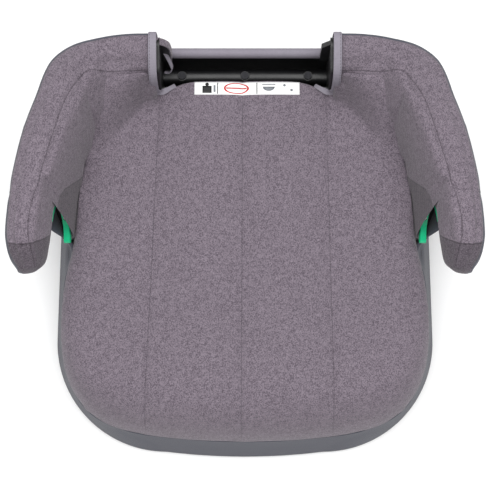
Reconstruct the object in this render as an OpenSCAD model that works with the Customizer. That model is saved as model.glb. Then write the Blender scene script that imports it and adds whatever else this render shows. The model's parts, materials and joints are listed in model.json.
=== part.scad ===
// Backless child booster seat: a moulded base with a seat cushion, two padded arms, belt guides in the belt slots,
// a notched rear with a cross rail, and two retractable anchor connectors on a sliding carriage.
// Millimetres. +Z is up and the seat faces -Y. The origin is on the surface it stands on, under its middle.

/* [Base] */
// Length of the base from its front rim to its rear rim
base_l = 398; // [396:1:400]
// Width of the base across its rim
base_w = 381; // [379:1:383]
// Height of the seat deck
deck_h = 78; // [77:0.5:79]
// Wall thickness of the mouldings
wall = 3; // [2.5:0.5:3.5]
// Height of the rubber feet
foot_h = 4; // [3:0.5:5]
// Thickness of the soft skirt round the base
skirt_t = 2.4; // [2:0.1:2.8]

/* [Cushion] */
// Height of the crest at the front of the cushion
crest_h = 112; // [109:1:114]
// Height of the cushion's rear edge
cushion_rear_h = 92; // [91:1:94]
// Thickness of the cover cloth with its lining
cloth = 1.2; // [1:0.1:1.5]

/* [Arms] */
// Height of the highest part of the arms
arm_h = 200; // [196:1:202]
// Distance from the middle to the outside of an arm
arm_out = 222; // [219:1:224]
// Thickness of the padding over each arm's core
padding = 6; // [5:0.5:7]
// Radius of the round belt slot under the free front part of an arm
slot_r = 33; // [30:1:34]

/* [Rear notch] */
// Width of the notch between the two rear blocks
notch_w = 164; // [162:1:166]
// Radius of the cross rail in the notch
rail_r = 8; // [7:0.5:9]
// Distance between the fixings of the cross rail
rail_pitch = 63; // [58:1:66]

/* [Anchor connectors] */
// Distance of each connector from the middle
anchor_x = 140; // [139:1:141]
// Height of the middle of each connector's mouth
anchor_z = 42; // [41:0.5:43]
// Radius of the pins that the hooks turn on
hook_pin_r = 3; // [2.5:0.25:3.25]

/* [Hidden] */

$fn = 48;
gap = 0.3;
far = 600;

front_y = -base_l / 2;
rear_y = base_l / 2;
front_r = 85;
rim_r = 112;
rear_r = 45;
bow_r = 640;
rim_z = 3;
mid_z = 46;
mid_inset = 12;
deck_inset = 13;
rear_taper = 4.5;
deck_front = front_y + 41;
shell_t = skirt_t + 0.4;
pan_t = 3;
skirt_end_y = 150;
seam_break_y = -110;
seam_front_y = -187;

notch_half = notch_w / 2;
cheek_t = 4;
block_x = notch_half + cheek_t;
trough_front_y = 164;
trough_rear_y = 193;
trough_z = 38;
rear_wall_top = 94;
rail_y = 177;
rail_z = 66;
binding_w = 8;
binding_t = 1.5;

sunk_depth = 22;
boss_r = 3.8;
boss_h = 8;

slot_y = 7.5;
slot_z = 127;
slot_x = 176;
slot_lean = 12;
lip_w = 6;
lip_h = 5.5;
lip_end_r = 2.6;
seat_t = 3;
guide_from = -95;
guide_to = 75;

tube_y = 36;
tube_r = 9;
connector_w = 30;
connector_top = 60;
connector_bottom = 26;
connector_front = 88;
connector_rear = 190;
mouth_h = 8;
mouth_end_y = 172;
hook_y = 144;
hook_z = 52;
hook_t = 5;
arm_t = 6;
arm_height = 20;
arm_end_y = 120;
button_y = 114;
button_l = 14;
button_travel = 6;

charcoal = [0.06, 0.06, 0.065];
melange = [0.52, 0.48, 0.52];
smooth_grey = [0.36, 0.36, 0.40];
light_grey = [0.68, 0.65, 0.70];
guide_green = [0.10, 0.68, 0.49];
steel = [0.62, 0.63, 0.65];
zinc = [0.50, 0.51, 0.53];
foam_white = [0.85, 0.85, 0.82];
paper_white = [0.93, 0.93, 0.93];

// ---------- helpers ----------

module box(x, y, z) {
    translate([x[0], y[0], z[0]]) cube([x[1] - x[0], y[1] - y[0], z[1] - z[0]]);
}

module left_side() { mirror([1, 0, 0]) children(); }

module both_sides() {
    children();
    left_side() children();
}

// Cylinder along X from x0 to x1 at height z and depth y.
module bar_x(x0, x1, y, z, r) {
    translate([x0, y, z]) rotate([0, 90, 0]) cylinder(x1 - x0, r, r);
}

// Extrudes a shape drawn with depth across and height up, from x0 to x1.
module side_profile(x0, x1) {
    translate([x0, 0, 0]) rotate([90, 0, 90]) linear_extrude(x1 - x0) children();
}

function arc(cx, cy, r, a0, a1, n = 8) =
    [for (i = [0:n]) let (a = a0 + (a1 - a0) * i / n) [cx + r * cos(a), cy + r * sin(a)]];
function reversed(points) = [for (i = [len(points) - 1:-1:0]) points[i]];
function mirrored(points) = [for (p = reversed(points)) [-p[0], p[1]]];
function symmetric(points) = concat(points, mirrored(points));

// ---------- base ----------

// Right half of a plan outline of the base: bowed front, large front corner, smaller rear corner.
function half_outline(inset, front, rear, r = front_r) =
    let (hw = base_w / 2 - inset, cx = hw - r, bow = cx * cx / (2 * bow_r))
    concat(
        [for (i = [0:3]) let (x = cx * i / 4) [x, front + x * x / (2 * bow_r)]],
        arc(cx, front + bow + r, r, -85, 0),
        arc(hw - rear_taper - rear_r, rear - rear_r, rear_r, 0, 90)
    );

module level(z, inset, front, rear, r = front_r) {
    translate([0, 0, z]) linear_extrude(0.5) polygon(symmetric(half_outline(inset, front, rear, r)));
}

// Outer form of the base drawn in by t at its front and sides and by rear_t at its rear.
module base_form(t, rear_t, bottom, top) {
    hull() {
        level(bottom, t, front_y + t, rear_y - rear_t, rim_r);
        level(mid_z, mid_inset + t, front_y + mid_inset + t, rear_y - rear_t);
        level(top - 0.5, deck_inset + t, deck_front + t, rear_y - 1 - rear_t);
    }
}

boss_places = [[60, -150], [166, -85], [166, 20], [103, 172]];
wing_screw_places = [[167.5, 60], [163, 88], [140, 150], [104, 152]];
foot_places = [[150, -130], [150, 0], [130, 130]];

module at_each(places) {
    both_sides() for (p = places) translate([p[0], p[1], 0]) children();
}

module deck_ribs() {
    for (x = [-90, -30, 30, 90]) box([x - 1, x + 1], [-145, 150], [66, deck_h - wall + 0.5]);
    for (y = [-110, -40, 30, 100]) box([-160, 160], [y - 1, y + 1], [66, deck_h - wall + 0.5]);
}

module base_shell() color(charcoal) difference() {
    union() {
        difference() {
            base_form(shell_t, 0, rim_z, deck_h);
            base_form(shell_t + wall, wall, rim_z - 1, deck_h - wall);
        }
        deck_ribs();
        at_each(boss_places) translate([0, 0, foot_h + pan_t]) cylinder(deck_h - 10, 5, 5);
        box([-block_x, block_x], [trough_front_y - wall, trough_rear_y + 2], [trough_z - wall, deck_h]);
        box([0.2 - notch_half, notch_half - 0.2], [trough_rear_y, rear_y - 1], [deck_h - 2, rear_wall_top]);
    }
    difference() {
        box([-notch_half, notch_half], [trough_front_y, trough_rear_y], [trough_z, far]);
        for (x = [-rail_pitch, 0, rail_pitch])
            translate([x, rail_y, trough_z - 1]) cylinder(rail_z - rail_r - trough_z + 0.8, 7, 7);
    }
    for (x = [-rail_pitch, 0, rail_pitch])
        translate([x, rail_y, trough_z + 2]) cylinder(40, 2.05, 2.05);
    at_each(boss_places) translate([0, 0, 6]) cylinder(20, 1.8, 1.8);
    at_each(wing_screw_places) translate([0, 0, deck_h - 5]) cylinder(10, 2.2, 2.2);
    at_each(wing_screw_places) translate([0, 0, deck_h - wall - 4.5]) cylinder(4.52, 4, 4);
    both_sides()
        box([anchor_x - 18, anchor_x + 18], [rear_y - 25, rear_y + 5], [connector_bottom - 3, connector_top + 4]);
}

module base_pan() color(charcoal) difference() {
    translate([0, 0, foot_h])
        linear_extrude(pan_t)
            polygon(symmetric(half_outline(shell_t + wall + 1.5, front_y + shell_t + wall + 1.5, rear_y - wall - gap,
                rim_r)));
    at_each(boss_places) translate([0, 0, 1]) cylinder(10, 2.2, 2.2);
    at_each(foot_places) translate([0, 0, 1]) cylinder(10, 5, 5);
}

module pan_screws() color(zinc) at_each(boss_places) {
    translate([0, 0, foot_h]) cylinder(18, 1.75, 1.75);
    translate([0, 0, foot_h - 2.2]) cylinder(2.2, 4, 4);
}

module rubber_feet() color(charcoal) at_each(foot_places) {
    cylinder(foot_h, 13, 13);
    cylinder(foot_h + pan_t + 1, 4.95, 4.95);
}

// Everything in front of and below the sewn edge between the skirt and the cushion.
module below_seam() {
    side_profile(-far, far)
        polygon([[-far, -far], [skirt_end_y, -far], [skirt_end_y, deck_h - gap], [seam_break_y, deck_h - gap],
            [seam_front_y, mid_z - gap], [-far, mid_z - gap]]);
}

module side_skirt() color(smooth_grey) intersection() {
    difference() {
        base_form(0, 0, rim_z, deck_h);
        base_form(skirt_t, 0, rim_z - 1, deck_h + 1);
    }
    below_seam();
}

// ---------- cushion ----------

cushion_top = [
    [-far, -far], [-188, mid_z], [-184, 76], [-173, 97], [-156, crest_h - 3], [-136, crest_h], [-98, crest_h - 5],
    [-40, 101], [60, 99], [trough_front_y - 1, cushion_rear_h], [trough_front_y - 1, -far]
];
cushion_plan = [
    [far, -far], [far, 0], [157.5, 0], [154.5, 42.5], [147.5, 75.5], [140.5, 86], [125.5, 94.5], [101, 124.5],
    [81.5, 141], [notch_half - 1, 141], [notch_half - 1, far]
];

// Form of the cushion drawn in by t at its top and sides, down to the sewn edge and the deck.
module cushion_form(t) {
    intersection() {
        hull() {
            level(20, mid_inset + t, front_y + mid_inset + t, rear_y + 20);
            level(88, mid_inset + t, front_y + mid_inset + t, rear_y + 20);
            level(101, mid_inset + 8 + t, front_y + mid_inset + t, rear_y + 20);
            level(crest_h + 1, mid_inset + 26 + t, front_y + mid_inset + t, rear_y + 20);
        }
        side_profile(-far, far) offset(delta = -0.01 - t) polygon(cushion_top);
        linear_extrude(far) offset(delta = -0.01 - t) polygon(symmetric(cushion_plan));
    }
}

module above_seam() {
    side_profile(-far, far)
        polygon([[-far, mid_z], [seam_front_y, mid_z], [seam_break_y, deck_h + 0.1], [far, deck_h + 0.1],
            [far, far], [-far, far]]);
}

module seat_foam() color(foam_white) difference() {
    intersection() {
        cushion_form(cloth + 0.15);
        above_seam();
    }
    base_form(shell_t - 0.1, -10, 0, deck_h);
}

module seat_cover() color(melange) intersection() {
    difference() {
        cushion_form(0);
        cushion_form(cloth);
    }
    above_seam();
}

module info_label() color(paper_white)
    translate([0, 60, 99])
        rotate([atan((cushion_rear_h - 99) / (trough_front_y - 61)), 0, 0])
            box([-50, 50], [89, 102], [0.05, 0.65]);

// ---------- arms ----------

// Cross-sections of the right arm from the notch round the rear corner to the tip of its free front part.
// Each row is inner foot, inner shoulder, outer shoulder, outer foot.
arm_sections = [
    [[82, 150, deck_h], [82, 157, 152], [82, 194, 168], [82, 196, deck_h]],
    [[106, 134, deck_h], [108, 158, 154], [109, 192, 168], [109, 195, deck_h]],
    [[130, 104, deck_h], [134, 160, 160], [137, 190, 168], [136, 193, deck_h]],
    [[147, 95, deck_h], [152, 140, 176], [183, 171, 172], [168, 173, deck_h]],
    [[156, 80, deck_h], [168, 98, 192], [209, 99, 190], [178, 97, deck_h]],
    [[162, 44, deck_h], [184, 50, arm_h - 2], [219, 50, 192], [179, 46, deck_h]]
];
horn_sections = [
    [[176, 44, 147], [184, 50, arm_h - 2], [219, 50, 192], [210, 44, 147]],
    [[178, 8, 147], [193, 8, arm_h], [arm_out, 8, 192], [217, 8, 147]],
    [[188, -28, 152], [196, -30, 188], [arm_out - 5, -28, 186], [213, -26, 152]]
];
throat_foot = [[164, 9, deck_h - sunk_depth], [168, 12, 97], [176, 12, 96], [177, 9, deck_h - sunk_depth]];

// A section whose feet go on below the deck, so that its rounded foot corners lie under the floor that cuts it.
function lowered(foot, shoulder) = foot + (foot - shoulder) * sunk_depth / (shoulder[2] - foot[2]);
function sunk(section) =
    [lowered(section[0], section[1]), section[1], section[2], lowered(section[3], section[2])];
sunk_sections = [for (section = arm_sections) sunk(section)];

function middle(section) = (section[0] + section[1] + section[2] + section[3]) / 4;
function toward(p, c, d) = p + (c - p) * min(1, d / norm(c - p));

module section_balls(section, inset, r, n) {
    c = middle(section);
    for (p = section)
        translate(toward(p, c, (inset + r) * 1.45)) sphere(r, $fn = n);
}

module loft(sections, inset, r, n) {
    for (i = [0:len(sections) - 2])
        hull() {
            section_balls(sections[i], inset, r, n);
            section_balls(sections[i + 1], inset, r, n);
        }
}

// Places its children in the belt slot: the slot runs along their X axis.
module in_slot() {
    translate([slot_x, slot_y, slot_z]) rotate([0, slot_lean, 0]) children();
}

// Form of the right arm drawn in by inset, with edges of radius r, cut off at the deck and at the notch.
module arm_form(inset, r, n, floor_z = deck_h) {
    difference() {
        intersection() {
            union() {
                loft(sunk_sections, inset, r, n);
                loft(horn_sections, inset, r, n);
                hull() {
                    section_balls(sunk_sections[len(sunk_sections) - 1], inset, r, n);
                    section_balls(throat_foot, inset, min(r, 2), n);
                }
            }
            box([block_x, far], [-far, far], [floor_z, far]);
        }
        in_slot() bar_x(-60, 80, 0, 0, slot_r + inset);
    }
}

module guide_screw_places() {
    in_slot() for (a = [-50, 20]) rotate([a, 0, 0]) translate([lip_w / 2, slot_r - 0.5, 0]) rotate([-90, 0, 0]) children();
}

module screw_way(r) { guide_screw_places() translate([0, 0, -6]) cylinder(25, r, r); }

module right_arm_cover() color(melange) difference() {
    arm_form(0, 8, 12);
    arm_form(cloth - 0.15, 7, 8, 0);
    screw_way(1.8);
}
module left_arm_cover() left_side() right_arm_cover();

module right_arm_foam() color(foam_white) difference() {
    arm_form(cloth, 7, 8);
    arm_form(padding - 0.2, 2, 6, 0);
    wing_bosses(boss_r + 0.2, boss_h + 0.2);
    screw_way(1.6);
}
module left_arm_foam() left_side() right_arm_foam();

module wing_bosses(r, h) {
    for (p = wing_screw_places) translate([p[0], p[1], deck_h]) cylinder(h, r, r);
}

module right_wing() color(charcoal) difference() {
    union() {
        difference() {
            arm_form(padding, 2, 6);
            arm_form(padding + wall, 1, 4, deck_h + wall);
        }
        wing_bosses(boss_r, boss_h);
    }
    translate([0, 0, -1]) wing_bosses(2.1, boss_h + 0.3);
    screw_way(1.35);
}
module left_wing() left_side() right_wing();

module wing_screws() color(zinc) at_each(wing_screw_places) {
    translate([0, 0, deck_h - wall - 2.5]) cylinder(2.5, 3.7, 3.7);
    translate([0, 0, deck_h - wall]) cylinder(wall + boss_h - 1, 1.9, 1.9);
}

// ---------- rear notch ----------

module block_profile(t) {
    offset(r = 8) offset(delta = -8 - t) polygon([for (p = arm_sections[0]) [p[1], p[2]]]);
}

module above(z) { translate([-far, z]) square([2 * far, far]); }

// Plate on the rear edge of a cheek, with its top corner cut off.
bracket_in = 8;
bracket_y = [185.6, 190.1];

module right_notch_cheek() color(charcoal) {
    side_profile(notch_half, block_x)
        intersection() {
            block_profile(binding_t + 0.1);
            above(deck_h + 0.1);
        }
    translate([0, bracket_y[1], 0]) rotate([90, 0, 0]) linear_extrude(bracket_y[1] - bracket_y[0])
        polygon([[notch_half + 1, 97], [notch_half - bracket_in, 97], [notch_half - bracket_in, 142],
            [notch_half + 1, 156]]);
}
module left_notch_cheek() left_side() right_notch_cheek();

module notch_binding() color(light_grey) {
    both_sides()
        side_profile(block_x - binding_w, block_x)
            intersection() {
                difference() {
                    block_profile(0);
                    block_profile(binding_t);
                }
                above(102);
            }
    box([-notch_half + 1, notch_half - 1], [trough_rear_y - 1, rear_y], [rear_wall_top + 0.1, rear_wall_top + 1.6]);
}

module rear_cross_rail() color(charcoal) difference() {
    bar_x(0.2 - notch_half, notch_half - 0.2, rail_y, rail_z, rail_r);
    for (x = [-rail_pitch, 0, rail_pitch]) translate([x, rail_y, 0]) {
        cylinder(far, 2.1, 2.1);
        translate([0, 0, rail_z + rail_r - 2.5]) cylinder(20, 5, 5);
    }
}

module rail_screws() color(zinc)
    for (x = [-rail_pitch, 0, rail_pitch]) translate([x, rail_y, 0]) {
        translate([0, 0, trough_z + 4]) cylinder(rail_z + rail_r - trough_z - 6.4, 2, 2);
        translate([0, 0, rail_z + rail_r - 2.4]) cylinder(2.8, 3.8, 3.8);
    }

// ---------- belt guides ----------

// Sector of a ring in side view, from under the free front part of the arm to the front of the deck.
module guide_sector(outer_r, thick) {
    intersection() {
        difference() {
            circle(outer_r);
            circle(outer_r - thick);
        }
        polygon([[0, 0], for (a = [guide_from, -45, 45, guide_to]) 60 * [cos(a), sin(a)]]);
    }
}

// Rim that lines the belt slot, with two screws sunk into it.
module right_belt_guide() color(guide_green) difference() {
    in_slot() side_profile(0, lip_w) {
        guide_sector(slot_r - 0.5, lip_h);
        for (a = [guide_from, guide_to])
            rotate(a) translate([slot_r - 0.5 - lip_h / 2, 0]) circle(lip_end_r);
    }
    screw_way(1.35);
    guide_screw_places() translate([0, 0, -12]) cylinder(12 - seat_t, 2.2, 2.2);
}
module left_belt_guide() left_side() right_belt_guide();

module guide_screws() color(zinc) both_sides() guide_screw_places() {
    translate([0, 0, -seat_t - 1.6]) cylinder(1.6, 2, 2);
    translate([0, 0, -seat_t]) cylinder(15, 1.15, 1.15);
}

// ---------- anchor connectors ----------

module right_guide_rail() color(steel)
    box([100, 112], [10, 156], [foot_h + pan_t, 19]);
module left_guide_rail() left_side() right_guide_rail();

module right_slider() color(charcoal) difference() {
    box([95, 117], [tube_y - 16, tube_y + 16], [foot_h + pan_t + 1, 54]);
    box([99.6, 112.4], [0, far], [0, 19.4]);
    bar_x(90, 120, tube_y, anchor_z, tube_r + 0.03);
}
module left_slider() left_side() right_slider();

module carriage_tube() color(steel) difference() {
    bar_x(arm_t / 2 - anchor_x, anchor_x - arm_t / 2, tube_y, anchor_z, tube_r);
    bar_x(-far, far, tube_y, anchor_z, tube_r - 2);
}

rivet_places = [98, 110];

module right_anchor_arm() color(steel) difference() {
    box([anchor_x - arm_t / 2, anchor_x + arm_t / 2], [tube_y - 12, arm_end_y],
        [anchor_z - arm_height / 2, anchor_z + arm_height / 2]);
    for (y = rivet_places) bar_x(0, far, y, anchor_z, 3.03);
}
module left_anchor_arm() left_side() right_anchor_arm();

module arm_rivets() color(zinc) both_sides()
    for (y = rivet_places)
        bar_x(anchor_x - connector_w / 2, anchor_x + connector_w / 2, y, anchor_z, 3);

// Side view of a connector: a block with the anchor's mouth in its rear end.
module connector_profile() {
    difference() {
        offset(r = 4) offset(delta = -4)
            translate([connector_front, connector_bottom])
                square([connector_rear - connector_front, connector_top - connector_bottom]);
        translate([mouth_end_y, anchor_z]) circle(mouth_h / 2);
        translate([mouth_end_y, anchor_z - mouth_h / 2]) square([40, mouth_h]);
        polygon([[connector_rear - 6, anchor_z - 4], [connector_rear + 1, anchor_z - 9],
            [connector_rear + 1, anchor_z + 4]]);
    }
}

module right_connector() color(charcoal) difference() {
    side_profile(anchor_x - connector_w / 2, anchor_x + connector_w / 2) connector_profile();
    box([anchor_x - arm_t / 2 - 0.1, anchor_x + arm_t / 2 + 0.1], [0, arm_end_y + gap],
        [anchor_z - arm_height / 2 - 0.1, anchor_z + arm_height / 2 + 0.1]);
    box([anchor_x - 7, anchor_x + 7], [hook_y - 9, 186], [anchor_z + 3, connector_top - 1.5]);
    box([anchor_x - 6.3, anchor_x + 6.3], [button_y - button_travel - 0.6, button_y + button_l + 0.4],
        [connector_top - 3.3, far]);
    for (y = rivet_places) bar_x(0, far, y, anchor_z, 3.03);
    bar_x(anchor_x - 14, anchor_x + 14, hook_y, hook_z, hook_pin_r + 0.03);
}
module left_connector() left_side() right_connector();

module right_hook_pin() color(steel)
    bar_x(anchor_x - 14, anchor_x + 14, hook_y, hook_z, hook_pin_r);
module left_hook_pin() left_side() right_hook_pin();

module right_hook() color(steel)
    side_profile(anchor_x - hook_t / 2, anchor_x + hook_t / 2)
        difference() {
            union() {
                translate([hook_y, hook_z]) circle(5.8);
                translate([hook_y, hook_z - 0.5]) square([40, 6]);
                translate([hook_y + 33, anchor_z + 4.5]) square([7, 11]);
            }
            translate([hook_y, hook_z]) circle(hook_pin_r + 0.05);
        }
module left_hook() left_side() right_hook();

// Torsion spring beside the hook: close-wound turns round the pin and two legs.
module right_hook_spring() color(zinc) {
    for (i = [0:2])
        translate([anchor_x + hook_t / 2 + 1.1 + i, hook_y, hook_z])
            rotate([0, 90, 0])
                rotate_extrude() translate([hook_pin_r + 1, 0]) circle(0.55, $fn = 16);
    translate([anchor_x + hook_t / 2 + 1.1, hook_y, hook_z + hook_pin_r + 1])
        rotate([-90, 0, 0]) cylinder(14, 0.5, 0.5, $fn = 16);
    translate([anchor_x + hook_t / 2 + 3.1, hook_y, hook_z - hook_pin_r - 1])
        rotate([-90, 0, 0]) cylinder(10, 0.5, 0.5, $fn = 16);
}
module left_hook_spring() left_side() right_hook_spring();

module right_release_button() color(guide_green) {
    box([anchor_x - 6, anchor_x + 6], [button_y, button_y + button_l], [connector_top - 3, connector_top]);
    for (i = [0:3])
        box([anchor_x - 5, anchor_x + 5], [button_y + 1.5 + i * 3, button_y + 3 + i * 3],
            [connector_top - 0.5, connector_top + 2]);
}
module left_release_button() left_side() right_release_button();

base_shell();
base_pan();
pan_screws();
rubber_feet();
side_skirt();
rear_cross_rail();
rail_screws();
left_notch_cheek();
right_notch_cheek();
notch_binding();
seat_foam();
seat_cover();
info_label();
left_wing();
right_wing();
wing_screws();
left_arm_foam();
right_arm_foam();
left_arm_cover();
right_arm_cover();
left_belt_guide();
right_belt_guide();
guide_screws();
left_guide_rail();
right_guide_rail();
carriage_tube();
left_slider();
right_slider();
left_anchor_arm();
right_anchor_arm();
arm_rivets();
left_connector();
right_connector();
left_hook_pin();
right_hook_pin();
left_hook_spring();
right_hook_spring();
left_hook();
right_hook();
left_release_button();
right_release_button();
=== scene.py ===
"""Backless child booster seat: fabric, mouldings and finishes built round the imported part.

+X is to the right of someone facing the seat, the seat faces -Y, and +Z is up. Tables are in millimetres.
"""

import json
import math

import bmesh
import bpy
import numpy as np
from mathutils import Matrix, Vector, noise
from mathutils.bvhtree import BVHTree


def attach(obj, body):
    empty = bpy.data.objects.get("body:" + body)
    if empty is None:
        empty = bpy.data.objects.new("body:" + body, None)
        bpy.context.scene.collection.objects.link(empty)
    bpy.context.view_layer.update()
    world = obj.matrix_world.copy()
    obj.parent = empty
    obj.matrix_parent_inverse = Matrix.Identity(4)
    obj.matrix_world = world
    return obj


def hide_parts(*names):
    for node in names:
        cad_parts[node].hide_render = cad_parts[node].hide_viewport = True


bl_info = {
    "name": "Booster Seat",
    "version": (1, 0, 0),
    "blender": (4, 5, 0),
    "location": "View3D > Sidebar > Booster Seat",
    "description": "Builds the fabric, trims and finishes of a child booster seat round its CAD frame",
    "category": "Add Mesh",
}

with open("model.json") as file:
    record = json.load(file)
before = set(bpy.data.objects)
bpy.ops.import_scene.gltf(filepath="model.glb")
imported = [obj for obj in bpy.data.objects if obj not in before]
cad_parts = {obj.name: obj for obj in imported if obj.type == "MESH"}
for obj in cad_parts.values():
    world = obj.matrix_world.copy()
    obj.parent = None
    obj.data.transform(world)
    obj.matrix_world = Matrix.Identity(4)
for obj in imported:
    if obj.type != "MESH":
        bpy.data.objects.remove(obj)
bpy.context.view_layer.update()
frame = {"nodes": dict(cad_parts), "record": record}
NODES = frame["nodes"]

MM = 0.001
BASE = "base"


# ---------- sizes and colours a user may change ----------


def length(name, description, default_mm):
    return bpy.props.FloatProperty(
        name=name, description=description, default=default_mm * MM, min=0.0, unit="LENGTH"
    )


def colour(name, description, srgb):
    return bpy.props.FloatVectorProperty(
        name=name, description=description, subtype="COLOR", size=3, min=0, max=1, default=linear(srgb)
    )


def linear(srgb):
    """Linear colour of an sRGB colour given as 0 to 255."""
    return tuple(c / 12.92 if c <= 0.04045 else ((c + 0.055) / 1.055) ** 2.4 for c in (v / 255 for v in srgb))


class BoosterSizes(bpy.types.PropertyGroup):
    """Sizes of the soft trim."""

    channel_depth: length("Channel depth", "How far the sewn channels sink into the seat", 2.4)
    seat_swell: length("Seat swell", "The most that the seat's panels may puff up", 3.0)
    arm_swell: length("Arm swell", "The most that the arms' padding may puff up", 2.6)
    tape_width: length("Tape width", "Width of the edge tape round the rear notch", 8.0)
    stitch_pitch: length("Stitch pitch", "Distance from one stitch to the next", 3.2)
    stitch_length: length("Stitch length", "Length of one stitch", 2.3)
    thread: length("Thread", "Thickness of the sewing thread", 0.5)
    fleck: length("Fleck", "Size of the flecks in the heather knit", 0.9)


class BoosterColours(bpy.types.PropertyGroup):
    """Colours of the fabrics and mouldings."""

    knit_light: colour("Knit, light fibres", "Light fibres of the heather knit", (128, 118, 128))
    knit_dark: colour("Knit, dark fibres", "Dark fibres of the heather knit", (78, 70, 79))
    smooth: colour("Smooth cloth", "Cloth of the skirt and the arms' outer faces", (70, 71, 81))
    tape: colour("Edge tape", "Elastic tape round the rear notch", (130, 125, 135))
    shell: colour("Shell", "Grained moulding of the base", (14, 14, 16))
    guide: colour("Belt guide", "Glossy moulding of the belt guides", (28, 182, 128))


class BoosterStage(bpy.types.PropertyGroup):
    """Light and camera."""

    sky: bpy.props.FloatProperty(
        name="Sky", description="Strength of the light from all round", default=0.5, min=0
    )
    softbox: bpy.props.FloatProperty(
        name="Softbox", description="Power of the soft light overhead", default=54.0, min=0, unit="POWER"
    )
    camera_height: bpy.props.FloatProperty(
        name="Camera elevation", description="Angle of the camera above the horizon",
        default=math.radians(80), subtype="ANGLE",
    )
    camera_distance: length("Camera distance", "Distance from the camera to the seat", 1800)


def sizes():
    return bpy.context.scene.booster_sizes


def colours():
    return bpy.context.scene.booster_colours


# ---------- mesh helpers ----------


def new_piece(name, points, faces, smooth=True):
    """A mesh object at the origin, with its points given in millimetres."""
    mesh = bpy.data.meshes.new(name)
    mesh.from_pydata((np.asarray(points, float) * MM).tolist(), [], faces)
    mesh.update()
    mesh.polygons.foreach_set("use_smooth", [smooth] * len(mesh.polygons))
    piece = bpy.data.objects.new(name, mesh)
    bpy.context.scene.collection.objects.link(piece)
    return piece


def grid_faces(rows, columns, wrap=False, first=0):
    """Quads of a grid whose points run along each row; wrap joins each row's end to its start."""
    across = columns if wrap else columns - 1
    return [
        (
            first + r * columns + c,
            first + r * columns + (c + 1) % columns,
            first + (r + 1) * columns + (c + 1) % columns,
            first + (r + 1) * columns + c,
        )
        for r in range(rows - 1)
        for c in range(across)
    ]


def points_of(piece):
    points = np.zeros(len(piece.data.vertices) * 3, np.float32)
    piece.data.vertices.foreach_get("co", points)
    return points.reshape(-1, 3).astype(float) / MM


def set_points(piece, points):
    piece.data.vertices.foreach_set("co", (np.asarray(points) * MM).astype(np.float32).ravel())
    piece.data.update()


def mark(piece, name, values):
    """Stores one number at each point, for the materials to read."""
    layer = piece.data.attributes.get(name) or piece.data.attributes.new(name, "FLOAT", "POINT")
    layer.data.foreach_set("value", np.asarray(values, np.float32))


def add_modifier(piece, kind, **settings):
    modifier = piece.modifiers.new(kind.title(), kind)
    for key, value in settings.items():
        setattr(modifier, key, value)
    return modifier


def settle(piece):
    """Applies every modifier by swapping the mesh for its evaluated copy."""
    graph = bpy.context.evaluated_depsgraph_get()
    mesh = bpy.data.meshes.new_from_object(piece.evaluated_get(graph), depsgraph=graph)
    piece.modifiers.clear()
    old, piece.data = piece.data, mesh
    bpy.data.meshes.remove(old)
    mesh.name = piece.name
    return piece


def refined(piece, levels=1):
    add_modifier(piece, "SUBSURF", levels=levels, render_levels=levels)
    return settle(piece)


def tidy_normals(piece):
    """Merges doubles and turns every face outwards."""
    work = bmesh.new()
    work.from_mesh(piece.data)
    bmesh.ops.remove_doubles(work, verts=work.verts, dist=1e-6)
    bmesh.ops.recalc_face_normals(work, faces=work.faces)
    work.to_mesh(piece.data)
    work.free()


def mirror_copy(piece, name):
    """The other side's piece: the same mesh mirrored in X, with its faces turned back outwards."""
    mesh = piece.data.copy()
    mesh.transform(Matrix.Scale(-1, 4, (1, 0, 0)))
    mesh.flip_normals()
    mesh.name = name
    twin = bpy.data.objects.new(name, mesh)
    bpy.context.scene.collection.objects.link(twin)
    return twin


def dress(piece, *materials):
    piece.data.materials.clear()
    for material in materials:
        piece.data.materials.append(material)
    return piece


def hand_over(piece, slot, *stands_for, body=BASE):
    """Fastens a finished piece to its CAD body and hides the CAD parts that it stands for."""
    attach(piece, body)
    if stands_for:
        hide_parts(*stands_for)
    return piece


def smooth_step(t):
    t = np.clip(t, 0, 1)
    return t * t * (3 - 2 * t)


def spline(knots, values, at):
    """A smooth curve through values at uneven knots, evaluated at the places in at."""
    knots, values, at = np.asarray(knots, float), np.asarray(values, float), np.asarray(at, float)
    steps = np.diff(knots)
    shape = (-1,) + (1,) * (values.ndim - 1)
    slopes = np.diff(values, axis=0) / steps.reshape(shape)
    tangents = np.empty_like(values)
    tangents[0], tangents[-1] = slopes[0], slopes[-1]
    before, after = steps[:-1].reshape(shape), steps[1:].reshape(shape)
    tangents[1:-1] = (slopes[:-1] * after + slopes[1:] * before) / (before + after)
    i = np.clip(np.searchsorted(knots, at, side="right") - 1, 0, len(steps) - 1)
    h = steps[i].reshape(shape)
    t = ((at - knots[i]) / steps[i]).reshape(shape)
    return (
        (2 * t**3 - 3 * t**2 + 1) * values[i]
        + (t**3 - 2 * t**2 + t) * h * tangents[i]
        + (3 * t**2 - 2 * t**3) * values[i + 1]
        + (t**3 - t**2) * h * tangents[i + 1]
    )


def along(points):
    """Distance along a line of points, from 0 to its length."""
    points = np.asarray(points, float)
    return np.concatenate([[0], np.cumsum(np.linalg.norm(np.diff(points, axis=0), axis=1))])


def resampled(points, count):
    """The same line with evenly spaced points."""
    points = np.asarray(points, float)
    run = along(points)
    at = np.linspace(0, run[-1], count)
    return np.stack([np.interp(at, run, points[:, k]) for k in range(points.shape[1])], axis=1)


def rounded_line(points, count):
    """A smooth line through the points, evenly spaced."""
    points = np.asarray(points, float)
    run = along(points)
    return resampled(spline(run, points, np.linspace(0, run[-1], count * 4)), count)


def mirrored_half(right):
    """A whole line from its right half, which starts in the middle."""
    right = np.asarray(right, float)
    left = right[:0:-1].copy()
    left[:, 0] *= -1
    return np.concatenate([left, right])


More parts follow.
